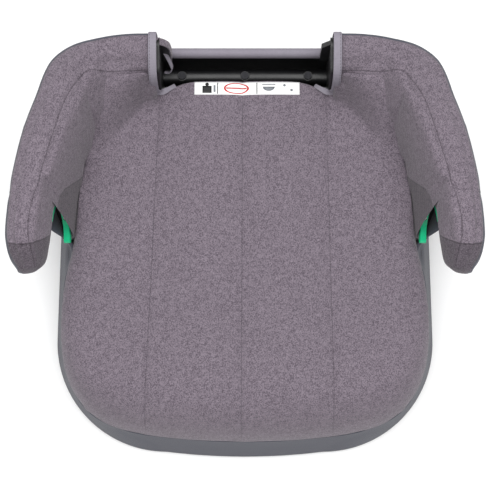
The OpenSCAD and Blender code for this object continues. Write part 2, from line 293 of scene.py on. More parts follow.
def swept(name, path, facing, profile, widths=None):
    """A closed profile swept along a path: its first axis lies across the path, its second along facing."""
    widths = np.ones(len(path)) if widths is None else widths
    path, facing = np.asarray(path, float), np.asarray(facing, float)
    tangent = np.gradient(path, axis=0)
    tangent /= np.linalg.norm(tangent, axis=1, keepdims=True)
    out = facing - (facing * tangent).sum(1, keepdims=True) * tangent
    out /= np.linalg.norm(out, axis=1, keepdims=True)
    wide = np.cross(tangent, out)
    rings = [p + a * f * w + b * o for p, f, w, o in zip(path, widths, wide, out) for a, b in profile]
    count = len(profile)
    faces = grid_faces(len(path), count, wrap=True)
    faces.append(tuple(range(count)))
    faces.append(tuple(range(len(rings) - 1, len(rings) - 1 - count, -1)))
    piece = new_piece(name, rings, faces)
    tidy_normals(piece)
    return piece


def rounded_box_profile(width, height, radius, steps=3):
    """Closed outline of a rectangle with rounded corners, centred on zero."""
    outline = []
    for sx, sy, start in ((1, 1, 0), (-1, 1, 90), (-1, -1, 180), (1, -1, 270)):
        for k in range(steps + 1):
            a = math.radians(start + 90 * k / steps)
            across = sx * (width / 2 - radius) + radius * math.cos(a)
            out = sy * (height / 2 - radius) + radius * math.sin(a)
            outline.append((across, out))
    return outline


def tree_of(*names):
    """Ray trees of CAD nodes."""
    graph = bpy.context.evaluated_depsgraph_get()
    return [BVHTree.FromObject(NODES[name], graph) for name in names]


def outermost(trees, start, direction, reach):
    """How far out from start, along direction, the last surface lies; 0 if there is none within reach."""
    far = 0.0
    for tree in trees:
        hit = tree.ray_cast(Vector(start + direction * reach) * MM, Vector(-direction), reach * MM)[0]
        if hit:
            far = max(far, float((np.array(hit) / MM - start) @ direction))
    return far


def smoothed(field, passes, keep):
    """Averages a field over its grid neighbours, never falling below keep."""
    for _ in range(passes):
        padded = np.pad(field, 1, mode="edge")
        around = (padded[:-2, 1:-1] + padded[2:, 1:-1] + padded[1:-1, :-2] + padded[1:-1, 2:]) / 4
        field = np.maximum(keep, (field + around) / 2)
    return field


def crumpled(points, size, depth, seed=0.0):
    """Small soft unevenness of cloth, as a shift in millimetres for each point."""
    shift = [noise.noise(Vector(p) / size + Vector((seed, 0, 0))) for p in points]
    return depth * np.array(shift)


def inflate(piece, held, pressure, cap, stiffness=12.0):
    """Swells padded cloth with a short cloth simulation; no point ends further than cap from its start."""
    scene = bpy.context.scene
    start = points_of(piece)
    group = piece.vertex_groups.new(name="held")
    for i, weight in enumerate(held):
        if weight > 0:
            group.add([i], float(weight), "REPLACE")
    cloth = add_modifier(piece, "CLOTH")
    cloth.settings.quality = 5
    cloth.settings.mass = 0.3
    cloth.settings.tension_stiffness = stiffness
    cloth.settings.compression_stiffness = stiffness
    cloth.settings.shear_stiffness = stiffness / 3
    cloth.settings.bending_stiffness = 0.4
    cloth.settings.use_pressure = True
    cloth.settings.uniform_pressure_force = pressure
    cloth.settings.vertex_group_mass = group.name
    cloth.settings.effector_weights.gravity = 0
    cloth.collision_settings.use_collision = False
    for number in range(1, 21):
        scene.frame_set(number)
    graph = bpy.context.evaluated_depsgraph_get()
    swollen = piece.evaluated_get(graph)
    points = np.zeros(len(swollen.data.vertices) * 3, np.float32)
    swollen.data.vertices.foreach_get("co", points)
    move = points.reshape(-1, 3).astype(float) / MM - start
    far = np.linalg.norm(move, axis=1, keepdims=True)
    move *= np.minimum(1, cap / np.maximum(far, 1e-9))
    piece.modifiers.remove(cloth)
    piece.vertex_groups.remove(group)
    scene.frame_set(1)
    set_points(piece, start + move)


# ---------- shader groups and materials ----------


class Wiring:
    """Adds nodes to a tree and joins them up."""

    def __init__(self, tree):
        self.tree = tree

    def add(self, kind, inputs=None, **settings):
        node = self.tree.nodes.new(kind)
        for key, value in settings.items():
            setattr(node, key, value)
        for key, value in (inputs or {}).items():
            if isinstance(value, bpy.types.NodeSocket):
                self.tree.links.new(value, node.inputs[key])
            else:
                node.inputs[key].default_value = value
        return node

    def math(self, operation, a, b=0.0, clamp=False):
        return self.add("ShaderNodeMath", {0: a, 1: b}, operation=operation, use_clamp=clamp).outputs[0]

    def blend(self, share, a, b, kind="MIX"):
        node = self.add("ShaderNodeMix", {0: share, 6: a, 7: b}, data_type="RGBA", blend_type=kind)
        return node.outputs[2]

    def spread(self, value, low, high, to_low=0.0, to_high=1.0):
        inputs = {"Value": value, "From Min": low, "From Max": high, "To Min": to_low, "To Max": to_high}
        return self.add("ShaderNodeMapRange", inputs).outputs[0]

    def noise(self, where, scale, detail=2.0, roughness=0.55):
        inputs = {"Vector": where, "Scale": scale, "Detail": detail, "Roughness": roughness}
        return self.add("ShaderNodeTexNoise", inputs).outputs[0]

    def stretched(self, where, x, y, z):
        return self.add("ShaderNodeMapping", {"Vector": where, "Scale": (x, y, z)}).outputs[0]

    def place(self):
        return self.add("ShaderNodeTexCoord").outputs["Object"]

    def stored(self, name):
        return self.add("ShaderNodeAttribute", attribute_name=name).outputs["Fac"]


def shader_group(name, inputs, outputs):
    """A node group with named sockets; inputs are (name, kind, value) and outputs are (name, kind)."""
    tree = bpy.data.node_groups.new(name, "ShaderNodeTree")
    for label, kind, value in inputs:
        tree.interface.new_socket(name=label, in_out="INPUT", socket_type=kind).default_value = value
    for label, kind in outputs:
        tree.interface.new_socket(name=label, in_out="OUTPUT", socket_type=kind)
    wiring = Wiring(tree)
    return wiring, wiring.add("NodeGroupInput").outputs, wiring.add("NodeGroupOutput")


FLOAT, COLOR = "NodeSocketFloat", "NodeSocketColor"


def heather_knit_group():
    """Two-tone knit: light and dark fibres mixed in flecks, fine rows of loops, and darker sewn lines that
    are partly painted shade of their grooves; painted shade also darkens the gusset and the creases between
    padded pieces.
    """
    w, given, out = shader_group(
        "heather_knit",
        [
            ("Light", COLOR, (0.4, 0.4, 0.4, 1)), ("Dark", COLOR, (0.1, 0.1, 0.1, 1)),
            ("Fleck", FLOAT, 0.001),
            ("Contrast", FLOAT, 1.0), ("Seam", FLOAT, 0.0), ("Gusset shade", FLOAT, 0.0),
        ],
        [("Color", COLOR), ("Height", FLOAT)],
    )
    where = w.place()
    scale = w.math("DIVIDE", 1.0, given["Fleck"])
    fine = w.noise(w.stretched(where, 1.0, 0.62, 1.0), scale, 1.5, 0.7)
    cross = w.noise(w.stretched(where, 0.5, 1.25, 0.8), w.math("MULTIPLY", scale, 1.3), 1.0, 0.6)
    patch = w.noise(where, w.math("MULTIPLY", scale, 0.22), 2.0, 0.6)
    mixed = w.math("ADD", w.math("MULTIPLY", fine, 0.62), w.math("MULTIPLY", cross, 0.38))
    mixed = w.math("ADD", w.math("MULTIPLY", w.math("SUBTRACT", mixed, 0.5), given["Contrast"]), 0.5)
    mixed = w.math("ADD", mixed, w.math("MULTIPLY", w.math("SUBTRACT", patch, 0.5), 0.22))
    fibres = w.spread(mixed, 0.38, 0.62)
    knit = w.blend(fibres, given["Dark"], given["Light"])
    loops = w.add("ShaderNodeTexWave", {"Vector": where, "Scale": 210.0, "Distortion": 1.2, "Detail": 1.0,
                                        "Detail Scale": 3.0}, bands_direction="X").outputs["Fac"]
    sewn = w.math("ABSOLUTE", w.math("SUBTRACT", given["Gusset shade"], 0.5))
    # Sewn lines are darkened toward the dark fibres: partly the seam's own line, partly painted shade of the
    # groove it sinks into.
    sewn_line_shade = w.math("MAXIMUM", w.spread(given["Seam"], 0.62, 1.0), w.spread(sewn, 0.03, 0.01))
    knit = w.blend(w.math("MULTIPLY", sewn_line_shade, 0.5), knit, given["Dark"], "MULTIPLY")
    # Painted shade: the gusset mark darkens the padded front of the slot, under the arm's overhang, to 0.58
    # of its tone.
    knit = w.blend(w.spread(given["Gusset shade"], 0.49, 0.51, 0.0, 0.42), knit, (0.0, 0.0, 0.0, 1.0))
    # Painted shade: ambient occlusion darkens the knit to near black in creases where two padded pieces press
    # on each other.
    open_sky = w.add("ShaderNodeAmbientOcclusion", {"Distance": 0.006}, samples=6).outputs["AO"]
    knit = w.blend(w.spread(open_sky, 0.12, 0.5, 0.55, 0.0), knit, (0.01, 0.01, 0.012, 1.0))
    height = w.math("ADD", w.math("MULTIPLY", fibres, 0.6), w.math("MULTIPLY", loops, 0.4))
    w.tree.links.new(knit, out.inputs["Color"])
    w.tree.links.new(height, out.inputs["Height"])
    return w.tree


def smooth_weave_group():
    """Plain tightly woven cloth: a fine basket of threads and a faint change of tone."""
    w, given, out = shader_group(
        "smooth_weave",
        [("Color", COLOR, (0.2, 0.2, 0.2, 1)), ("Thread", FLOAT, 0.0006), ("Variation", FLOAT, 0.1)],
        [("Color", COLOR), ("Height", FLOAT)],
    )
    where = w.place()
    scale = w.math("DIVIDE", 0.32, given["Thread"])
    bands = [
        w.add("ShaderNodeTexWave", {"Vector": where, "Scale": scale, "Distortion": 0.4, "Detail": 1.0},
              bands_direction=axis).outputs["Fac"]
        for axis in "XYZ"
    ]
    weave = w.math("MULTIPLY", w.math("ADD", w.math("ADD", bands[0], bands[1]), bands[2]), 0.333)
    tone = w.noise(where, 60.0, 4.0, 0.65)
    speck = w.noise(where, w.math("MULTIPLY", scale, 1.6), 1.0)
    shade = w.math("ADD", w.math("MULTIPLY", w.math("SUBTRACT", tone, 0.5), 0.8),
                   w.math("MULTIPLY", w.math("SUBTRACT", speck, 0.5), 1.0))
    shade = w.math("ADD", 1.0, w.math("MULTIPLY", shade, given["Variation"]))
    grey = w.add("ShaderNodeCombineXYZ", {0: shade, 1: shade, 2: shade}).outputs[0]
    w.tree.links.new(w.blend(1.0, given["Color"], grey, "MULTIPLY"), out.inputs["Color"])
    w.tree.links.new(weave, out.inputs["Height"])
    return w.tree


def moulded_grain_group():
    """Fine spark-eroded grain of a moulding, with slightly worn tone."""
    w, given, out = shader_group(
        "moulded_grain",
        [("Color", COLOR, (0.02, 0.02, 0.02, 1)), ("Grain", FLOAT, 0.0008), ("Rough", FLOAT, 0.45)],
        [("Color", COLOR), ("Roughness", FLOAT), ("Height", FLOAT)],
    )
    where = w.place()
    scale = w.math("DIVIDE", 1.0, given["Grain"])
    voronoi = w.add("ShaderNodeTexVoronoi", {"Vector": where, "Scale": scale}, feature="SMOOTH_F1")
    cells = voronoi.outputs["Distance"]
    cloud = w.noise(where, 35.0, 4.0, 0.6)
    tone = w.spread(cloud, 0.3, 0.7, 0.88, 1.14)
    grey = w.add("ShaderNodeCombineXYZ", {0: tone, 1: tone, 2: tone}).outputs[0]
    w.tree.links.new(w.blend(1.0, given["Color"], grey, "MULTIPLY"), out.inputs["Color"])
    rough = w.math("ADD", given["Rough"], w.math("MULTIPLY", w.math("SUBTRACT", cloud, 0.5), 0.22))
    w.tree.links.new(rough, out.inputs["Roughness"])
    w.tree.links.new(cells, out.inputs["Height"])
    return w.tree


def group(name):
    makers = {
        "heather_knit": heather_knit_group, "smooth_weave": smooth_weave_group,
        "moulded_grain": moulded_grain_group,
    }
    return bpy.data.node_groups.get(name) or makers[name]()


def new_material(name):
    """A material with its wiring and its Principled shader; constants are set on the shader itself."""
    material = bpy.data.materials.new(name)
    material.use_nodes = True
    material.node_tree.nodes.clear()
    w = Wiring(material.node_tree)
    shader = w.add("ShaderNodeBsdfPrincipled")
    out = w.add("ShaderNodeOutputMaterial")
    w.tree.links.new(shader.outputs[0], out.inputs[0])
    return material, w, shader


def opaque(rgb):
    return (rgb[0], rgb[1], rgb[2], 1.0)


def bumped(w, shader, height, distance, strength=1.0):
    bump = w.add("ShaderNodeBump", {"Height": height, "Distance": distance, "Strength": strength})
    w.tree.links.new(bump.outputs[0], shader.inputs["Normal"])


def knit_material(name, light, dark, contrast=1.0):
    material = bpy.data.materials.get(name)
    if material:
        return material
    material, w, shader = new_material(name)
    knit = w.add("ShaderNodeGroup", node_tree=group("heather_knit"))
    knit.inputs["Light"].default_value = opaque(light)
    knit.inputs["Dark"].default_value = opaque(dark)
    knit.inputs["Fleck"].default_value = sizes().fleck
    knit.inputs["Contrast"].default_value = contrast
    w.tree.links.new(w.stored("seam_and_shade"), knit.inputs["Seam"])
    w.tree.links.new(w.stored("gusset_shade"), knit.inputs["Gusset shade"])
    w.tree.links.new(knit.outputs["Color"], shader.inputs["Base Color"])
    bumped(w, shader, knit.outputs["Height"], 0.0005, 0.6)
    shader.inputs["Roughness"].default_value = 0.92
    shader.inputs["Specular IOR Level"].default_value = 0.25
    shader.inputs["Sheen Weight"].default_value = 0.15
    shader.inputs["Sheen Roughness"].default_value = 0.5
    return material


def seat_knit():
    return knit_material("heather_knit_cloth", colours().knit_light, colours().knit_dark)


def smooth_cloth(name="smooth_cloth", tone=1.0):
    material = bpy.data.materials.get(name)
    if material:
        return material
    material, w, shader = new_material(name)
    cloth = w.add("ShaderNodeGroup", node_tree=group("smooth_weave"))
    cloth.inputs["Color"].default_value = opaque([c * tone for c in colours().smooth])
    cloth.inputs["Thread"].default_value = 0.0006
    cloth.inputs["Variation"].default_value = 0.18
    w.tree.links.new(cloth.outputs["Color"], shader.inputs["Base Color"])
    bumped(w, shader, cloth.outputs["Height"], 0.0002, 0.5)
    shader.inputs["Roughness"].default_value = 0.72
    shader.inputs["Specular IOR Level"].default_value = 0.3
    shader.inputs["Sheen Weight"].default_value = 0.12
    return material


def tape_material():
    material = bpy.data.materials.get("ribbed_tape")
    if material:
        return material
    material, w, shader = new_material("ribbed_tape")
    cloth = w.add("ShaderNodeGroup", node_tree=group("smooth_weave"))
    cloth.inputs["Color"].default_value = opaque(colours().tape)
    cloth.inputs["Thread"].default_value = 0.0009
    cloth.inputs["Variation"].default_value = 0.22
    w.tree.links.new(cloth.outputs["Color"], shader.inputs["Base Color"])
    bumped(w, shader, cloth.outputs["Height"], 0.0003, 0.8)
    shader.inputs["Roughness"].default_value = 0.8
    return material


def moulding(name, rgb, rough=0.42, grain=0.0008, depth=0.00012):
    material = bpy.data.materials.get(name)
    if material:
        return material
    material, w, shader = new_material(name)
    grained = w.add("ShaderNodeGroup", node_tree=group("moulded_grain"))
    grained.inputs["Color"].default_value = opaque(rgb)
    grained.inputs["Grain"].default_value = grain
    grained.inputs["Rough"].default_value = rough
    w.tree.links.new(grained.outputs["Color"], shader.inputs["Base Color"])
    w.tree.links.new(grained.outputs["Roughness"], shader.inputs["Roughness"])
    bumped(w, shader, grained.outputs["Height"], depth, 0.5)
    return material


def metal(name, rgb, rough, brushed):
    """Metal with fine drawn lines along the piece's length in Y."""
    material = bpy.data.materials.get(name)
    if material:
        return material
    material, w, shader = new_material(name)
    where = w.place()
    lines = w.noise(w.stretched(where, 1.0, 0.04, 1.0), 2600.0 if brushed else 500.0, 3.0)
    shade = w.spread(lines, 0.3, 0.7, 0.82, 1.12)
    grey = w.add("ShaderNodeCombineXYZ", {0: shade, 1: shade, 2: shade}).outputs[0]
    w.tree.links.new(w.blend(1.0, opaque(rgb), grey, "MULTIPLY"), shader.inputs["Base Color"])
    w.tree.links.new(w.spread(lines, 0.3, 0.7, rough - 0.08, rough + 0.1), shader.inputs["Roughness"])
    bumped(w, shader, lines, 0.00004, 0.5)
    shader.inputs["Metallic"].default_value = 1.0
    return material


def foam_material():
    material = bpy.data.materials.get("open_cell_foam")
    if material:
        return material
    material, w, shader = new_material("open_cell_foam")
    where = w.place()
    cells = w.add("ShaderNodeTexVoronoi", {"Vector": where, "Scale": 900.0}).outputs["Distance"]
    cream = w.blend(cells, opaque((0.82, 0.81, 0.76)), opaque((0.55, 0.54, 0.5)))
    w.tree.links.new(cream, shader.inputs["Base Color"])
    bumped(w, shader, cells, 0.0004)
    shader.inputs["Roughness"].default_value = 0.95
    return material


def thread_material():
    material = bpy.data.materials.get("sewing_thread")
    if material:
        return material
    material, w, shader = new_material("sewing_thread")
    twist = w.add("ShaderNodeTexWave", {"Vector": w.place(), "Scale": 900.0, "Distortion": 2.0},
                  bands_direction="DIAGONAL").outputs["Fac"]
    w.tree.links.new(w.blend(twist, opaque(linear((70, 64, 72))), opaque(linear((104, 97, 106)))),
                     shader.inputs["Base Color"])
    bumped(w, shader, twist, 0.0001)
    shader.inputs["Roughness"].default_value = 0.6
    return material


def printed(name, rgb):
    """Woven label or its printed marks: satin threads across the label."""
    material = bpy.data.materials.get(name)
    if material:
        return material
    material, w, shader = new_material(name)
    threads = w.add("ShaderNodeTexWave", {"Vector": w.place(), "Scale": 700.0, "Distortion": 0.5},
                    bands_direction="X").outputs["Fac"]
    dim = opaque([c * 0.86 for c in rgb])
    w.tree.links.new(w.blend(threads, dim, opaque(rgb)), shader.inputs["Base Color"])
    bumped(w, shader, threads, 0.00008, 0.4)
    shader.inputs["Roughness"].default_value = 0.55
    return material


# ---------- seat cushion ----------

# Right half of the cushion's sewn edge: across, deep, height, and how far in the top rolls down to it.
# A height of 0 is 4 mm under the cushion's top there.
SEAT_FRONT = [
    (0, -187, 46, 50), (60, -184.3, 46, 50), (107, -178, 47, 48), (135, -170, 50, 45), (155, -157, 57, 40),
]
SEAT_SIDE = [
    (155, -157, 57, 40), (168, -138, 66, 34), (175, -118, 76, 28), (178, -95, 83, 24), (178, -60, 85, 20),
    (174, -28, 86, 16), (168, -2, 88, 14), (165, 25, 92, 12), (162, 52, 97, 10), (158, 80, 0, 9),
    (151, 108, 0, 8), (143, 134, 0, 8), (137, 152, 142, 8), (134, 157, 150, 7),
]
SEAT_REAR = [
    (0, 166, 92.5, 4), (30, 166, 92.5, 4), (52, 165, 92.5, 4), (64, 162, 93, 4), (72, 158, 94, 4),
    (79, 155, 96, 4), (84, 153.5, 102, 4), (86, 153.5, 112, 4), (87, 154, 126, 4), (88, 155.5, 140, 4),
    (91, 157, 150, 5), (112, 157.5, 151, 6), (134, 157, 150, 7),
]
SEAT_TOP = [(-187, 112), (-140, 112), (-100, 109), (-60, 103), (0, 100.5), (60, 99.5), (120, 97.5), (168, 94)]
# Where each sewn channel runs: across at the rear edge, and across at the front edge.
CHANNELS = [(-84, -97), (-2.5, -3.5), (80, 85.5)]
RAMP_FROM, RAMP_TO = 79.0, 90.0
RAMP_TOP = 150.0


def seat_height(x, y):
    """Height of the cushion's top away from its edges, in millimetres."""
    x, y = np.asarray(x, float), np.asarray(y, float)
    table = np.array(SEAT_TOP, float)
    level = spline(table[:, 0], table[:, 1], np.clip(y, -187, 168))
    side = np.abs(x)
    start = np.clip(152.5 - (side - 92) / 42 * 62, 90, 152.5)
    climb = smooth_step((y - start) / np.maximum(157 - start, 1))
    return level + smooth_step((side - RAMP_FROM) / (RAMP_TO - RAMP_FROM)) * (RAMP_TOP - level) * climb


def edge_line(table, count, rise=0.0):
    """A sewn edge as evenly spaced points; rise lets climbing parts take more of them."""
    table = np.array(table, float)
    low = table[:, 2] == 0
    table[low, 2] = seat_height(table[low, 0], table[low, 1]) - 4
    steps = np.hypot(np.hypot(np.diff(table[:, 0]), np.diff(table[:, 1])), rise * np.diff(table[:, 2]))
    run = np.concatenate([[0], np.cumsum(steps)])
    return spline(run, table, np.linspace(0, run[-1], count))


def clustered(knots, extra, spacing, total):
    """Places between 0 and 1, with some extra close ones round each inner knot and at both ends."""
    places = {0.0, 1.0}
    for k in knots:
        places.update(k + e / total for e in extra)
    for e in (1.5, 3.5, 6.5, 10.5):
        places.update((e / total, 1 - e / total))
    fixed = sorted(places)
    filled = []
    for a, b in zip(fixed, fixed[1:]):
        parts = max(1, round((b - a) * total / spacing))
        filled += [a + (b - a) * k / parts for k in range(parts)]
    return np.array(filled + [1.0])


def coons(front, rear, left, right, u, v):
    """Surface points between four edge lines, each given as a function of its place from 0 to 1."""
    uu, vv = np.meshgrid(u, v)
    sides = (1 - vv)[..., None] * front(uu) + vv[..., None] * rear(uu)
    ends = (1 - uu)[..., None] * left(vv) + uu[..., None] * right(vv)
    corners = (
        ((1 - uu) * (1 - vv))[..., None] * front(np.zeros(1)) + (uu * (1 - vv))[..., None] * front(np.ones(1))
        + ((1 - uu) * vv)[..., None] * rear(np.zeros(1)) + (uu * vv)[..., None] * rear(np.ones(1))
    )
    return sides + ends - corners


def cushion_surface():
    """The cushion's top: its points row by row, its size in rows and columns, and the channels' columns."""
    front = mirrored_half(edge_line(SEAT_FRONT, 120))
    rear = mirrored_half(edge_line(SEAT_REAR, 200, rise=0.35))
    right = edge_line(SEAT_SIDE, 260)
    left = right * np.array([-1, 1, 1, 1])

    def reader(line, rise=0.0):
        steps = np.hypot(np.hypot(np.diff(line[:, 0]), np.diff(line[:, 1])), rise * np.diff(line[:, 2]))
        run = np.concatenate([[0], np.cumsum(steps)])
        run /= run[-1]
        return run, lambda t: np.stack([np.interp(t, run, line[:, k]) for k in (0, 1)], axis=-1)

    _, front_at = reader(front)
    rear_run, rear_at = reader(rear, 0.35)
    _, right_at = reader(right)
    _, left_at = reader(left)
    at_rear = [np.interp(c[0], rear[:, 0], rear_run) for c in CHANNELS]
    columns = clustered(at_rear, (-6, -3.2, -1.3, 0, 1.3, 3.2, 6), 3.9, 300)
    rows = clustered([], (), 3.7, 345)
    grid = np.zeros((len(rows), len(columns), 2))
    even = np.linspace(0, 1, 400)
    for r, v in enumerate(rows):
        line = coons(front_at, rear_at, left_at, right_at, even, [v])[0]
        behind = np.clip((line[:, 1] + 187) / 340, 0, 1)
        knots = [0.0]
        for place, (back, ahead) in zip(at_rear, CHANNELS):
            off = line[:, 0] - (ahead + (back - ahead) * behind)
            knots.append(place if v == 1 else float(np.interp(0, off, even)))
        warped = np.interp(columns, [0.0] + at_rear + [1.0], knots + [1.0])
        grid[r] = coons(front_at, rear_at, left_at, right_at, warped, [v])[0]
    channel_columns = [int(np.argmin(np.abs(columns - c))) for c in at_rear]
    flat = grid.reshape(-1, 2)
    edge = np.concatenate([front, right, rear[::-1], left[::-1]])
    top = seat_height(flat[:, 0], flat[:, 1])
    away = np.hypot(flat[:, None, 0] - edge[None, :, 0], flat[:, None, 1] - edge[None, :, 1])
    near = away.min(1, keepdims=True)
    weight = np.exp(-(away - near) / 2.0)
    weight /= weight.sum(1, keepdims=True)
    low, roll = weight @ edge[:, 2], weight @ edge[:, 3]
    reach = 1 - np.clip(near[:, 0] / roll, 0, 1)
    height = low + (top - low) * np.sqrt(np.maximum(0, 1 - reach**2))
    return np.column_stack([flat, height]), len(rows), len(columns), channel_columns


def press_channels(points, rows, columns, channel_columns, depth):
    """Sinks the channels and bows the panels between them; gives back each point's nearness to a channel."""
    points = points.reshape(rows, columns, 3)
    seam_and_shade = np.zeros((rows, columns))
    for c in channel_columns:
        line = points[:, c, :2]
        away = np.abs(points[:, :, 0] - line[:, None, 0])
        fade = np.clip((points[:, c, 1] + 196) / 60, 0.25, 1)[:, None]
        pinch = 0.75 * np.exp(-((away / 1.9) ** 2)) + 0.5 * np.exp(-((away / 9.0) ** 2))
        points[:, :, 2] -= fade * depth * pinch
        seam_and_shade = np.maximum(seam_and_shade, (0.78 + 0.2 * fade) * (np.arange(columns) == c))
    return points.reshape(-1, 3), seam_and_shade.ravel()


def lift_clear(points, rows, columns):
    """Raises the cushion's top where the moulded parts under it would come through."""
    trees = tree_of("base_shell", "left_wing", "right_wing", "left_notch_cheek", "right_notch_cheek")
    gaps = (3.0, 5.0, 5.0, 2.5, 2.5)
    need = np.zeros(len(points))
    for i, (x, y, z) in enumerate(points):
        if abs(x) < 60 and y > -100:
            continue
        for tree, gap in zip(trees, gaps):
            hit = tree.ray_cast(Vector((x, y, z + 22)) * MM, Vector((0, 0, -1)), (22 + gap) * MM)[0]
            if hit:
                need[i] = max(need[i], min(hit.z / MM + gap - z, 18))
    need = need.reshape(rows, columns)
    from_edge = np.minimum(np.arange(rows), np.arange(rows)[::-1])[:, None]
    from_side = np.minimum(np.arange(columns), np.arange(columns)[::-1])[None, :]
    need *= np.clip(np.minimum(from_edge, from_side) / 4, 0, 1)
    points[:, 2] += smoothed(need, 12, need).ravel()
    return points


def seat_underside(points):
    """Height of the cushion's underside over the base's deck and its sloping front."""
    slope = 46 + (points[:, 1] + 187) * 1.15
    return np.minimum(points[:, 2] - 1.5, np.clip(slope, 45, 79.5))


def close_under(piece):
    """Makes a swollen top into a closed cushion: an underside on the deck, and a wall between their edges."""
    mesh = piece.data
    work = bmesh.new()
    work.from_mesh(mesh)
    top = list(work.verts)
    border = [e for e in work.edges if e.is_boundary]
    below = bmesh.ops.duplicate(work, geom=list(work.faces))
    twins = below["vert_map"]
    lowered = seat_underside(np.array([v.co for v in top]) / MM) * MM
    edge = {v for e in border for v in e.verts}
    for vert, height in zip(top, lowered):
        twins[vert].co.z = height - 6 * MM if vert in edge else height
    for face in [g for g in below["geom"] if isinstance(g, bmesh.types.BMFace)]:
        face.normal_flip()
    for e in border:
        a, b = e.verts
        work.faces.new((a, b, twins[b], twins[a])).smooth = True
    bmesh.ops.recalc_face_normals(work, faces=work.faces)
    work.to_mesh(mesh)
    work.free()


def build_seat_cushion():
    points, rows, columns, channel_columns = cushion_surface()
    points = lift_clear(points, rows, columns)
    points[:, 2] += crumpled(points * [1, 1, 0], 38.0, 0.7)
    points, seam_and_shade = press_channels(points, rows, columns, channel_columns, sizes().channel_depth / MM)
    cushion = new_piece("seat_cushion", points, grid_faces(rows, columns))
    # The seam mark darkens each channel's line in the knit: its sewn line and painted shade of its groove.
    mark(cushion, "seam_and_shade", seam_and_shade)
    held = np.zeros((rows, columns))
    held[[0, -1]] = 1
    held[:, [0, -1]] = 1
    held[1] = held[-2] = 0.6
    for c in channel_columns:
        held[:, c] = 1
    inflate(cushion, held.ravel(), 4.0, sizes().seat_swell / MM)
    shaped = points_of(cushion).reshape(rows, columns, 3)
    lines = [shaped[:, c] + np.array([0, 0, 0.2]) for c in channel_columns]
    refined(cushion)
    close_under(cushion)
    dress(cushion, seat_knit())
    hand_over(cushion, "cover", "seat_cover", "seat_foam")
    bpy.context.scene["booster_channels"] = json.dumps([line.round(3).tolist() for line in lines])


# ---------- arms ----------

# Sections of the right arm, from the notch round the rear corner to the tip of its free front part.
# Each row is inner foot, inner seam, outer top and outer foot.
ARM_SECTIONS = [
    ((86, 158, 82), (86, 158, 151), (86, 195.5, 168), (86, 196.5, 82)),
    ((110, 158, 82), (110, 158.5, 152), (112, 195, 168), (112, 196.5, 82)),
    ((132, 150, 118), (132, 158.5, 154), (140, 190.5, 169), (138, 194, 82)),
    ((136, 138, 121), (147.5, 156.5, 167), (165, 183, 171), (162, 185, 82)),
    ((142, 121, 112), (157.5, 143, 177), (185, 166.5, 176), (174, 169, 82)),
    ((149, 100, 104), (167.5, 124, 184), (199.5, 128, 184), (181, 133, 82)),
    ((156.5, 80, 100), (175.5, 95, 193), (210.5, 94, 190), (184, 93, 82)),
    ((162, 54, 97), (187, 54, 196), (220, 50, 191.5), (183, 54, 82)),
    ((165, 10, 84), (189.5, 42, 197), (221.5, 38, 191.5), (179, 10, 84)),
    ((166, 8, 93.5), (191, 38, 197), (222, 36, 191.5), (177, 8, 92.5)),
    ((169, 31, 104), (192, 35, 197), (222, 33, 191), (183, 31, 101)),
    ((172, 40, 121.5), (193, 32, 197), (222.5, 30, 191), (190, 40, 119)),
    ((176, 38, 139.5), (194.5, 26, 197), (223, 24, 191), (204, 38, 137)),
    ((179, 26, 153), (196.5, 18, 197), (223.5, 16, 191), (212, 26, 151)),
    ((180, 8, 158), (198.5, 6, 196.5), (224, 5, 191), (217, 8, 156)),
    ((183, -12, 153.5), (197.5, -10, 194), (224, -9, 190), (216, -12, 151)),
    ((187, -27, 151), (193.5, -24, 190), (220.5, -25, 186), (212, -28, 150)),
    ((194, -35, 159), (192, -33, 181), (214, -35, 178), (208, -37, 159)),
]
ARM_TIP = (204, -38.5, 169)
CORNER_STEPS = 6
SIDE_STEPS = (15, 9, 15, 7)
SIDE_BULGES = (3.0, 4.0, 4.0, 2.0)
CORNER_RADII = (5.0, 11.0, 11.0, 5.0)


def section_loop(corners, centre):
    """Closed loop round four rounded corners, with bowed sides, that starts at the inner foot's corner."""
    corners = np.asarray(corners, float)
    loop = []
    for k in range(4):
        here, last, after = corners[k], corners[k - 1], corners[(k + 1) % 4]
        back, ahead = last - here, after - here
        radius = CORNER_RADII[k]
        start = here + back * min(0.42, radius / max(np.linalg.norm(back), 1e-6))
        end = here + ahead * min(0.42, radius / max(np.linalg.norm(ahead), 1e-6))
        t = np.linspace(0, 1, CORNER_STEPS + 1)[:, None]
        loop.append((1 - t) ** 2 * start + 2 * t * (1 - t) * here + t**2 * end)
        stop = after - ahead * min(0.42, CORNER_RADII[(k + 1) % 4] / max(np.linalg.norm(ahead), 1e-6))
        middle = (here + after) / 2 - centre
        direction = ahead / max(np.linalg.norm(ahead), 1e-6)
        outward = middle - (middle @ direction) * direction
        outward /= max(np.linalg.norm(outward), 1e-6)
        s = np.linspace(0, 1, SIDE_STEPS[k] + 2)[1:-1, None]
        share = min(1.0, np.linalg.norm(ahead) / 60)
        loop.append(end + (stop - end) * s + outward * SIDE_BULGES[k] * share * 4 * s * (1 - s))
    return np.concatenate(loop)


def loop_places():
    """Where the loop's parts start: the middle of each corner, and each side's range of points."""
    middles, sides, first = [], [], 0
    for k in range(4):
        middles.append(first + CORNER_STEPS // 2)
        first += CORNER_STEPS + 1
        sides.append((first, first + SIDE_STEPS[k]))
        first += SIDE_STEPS[k]
    return middles, sides, first


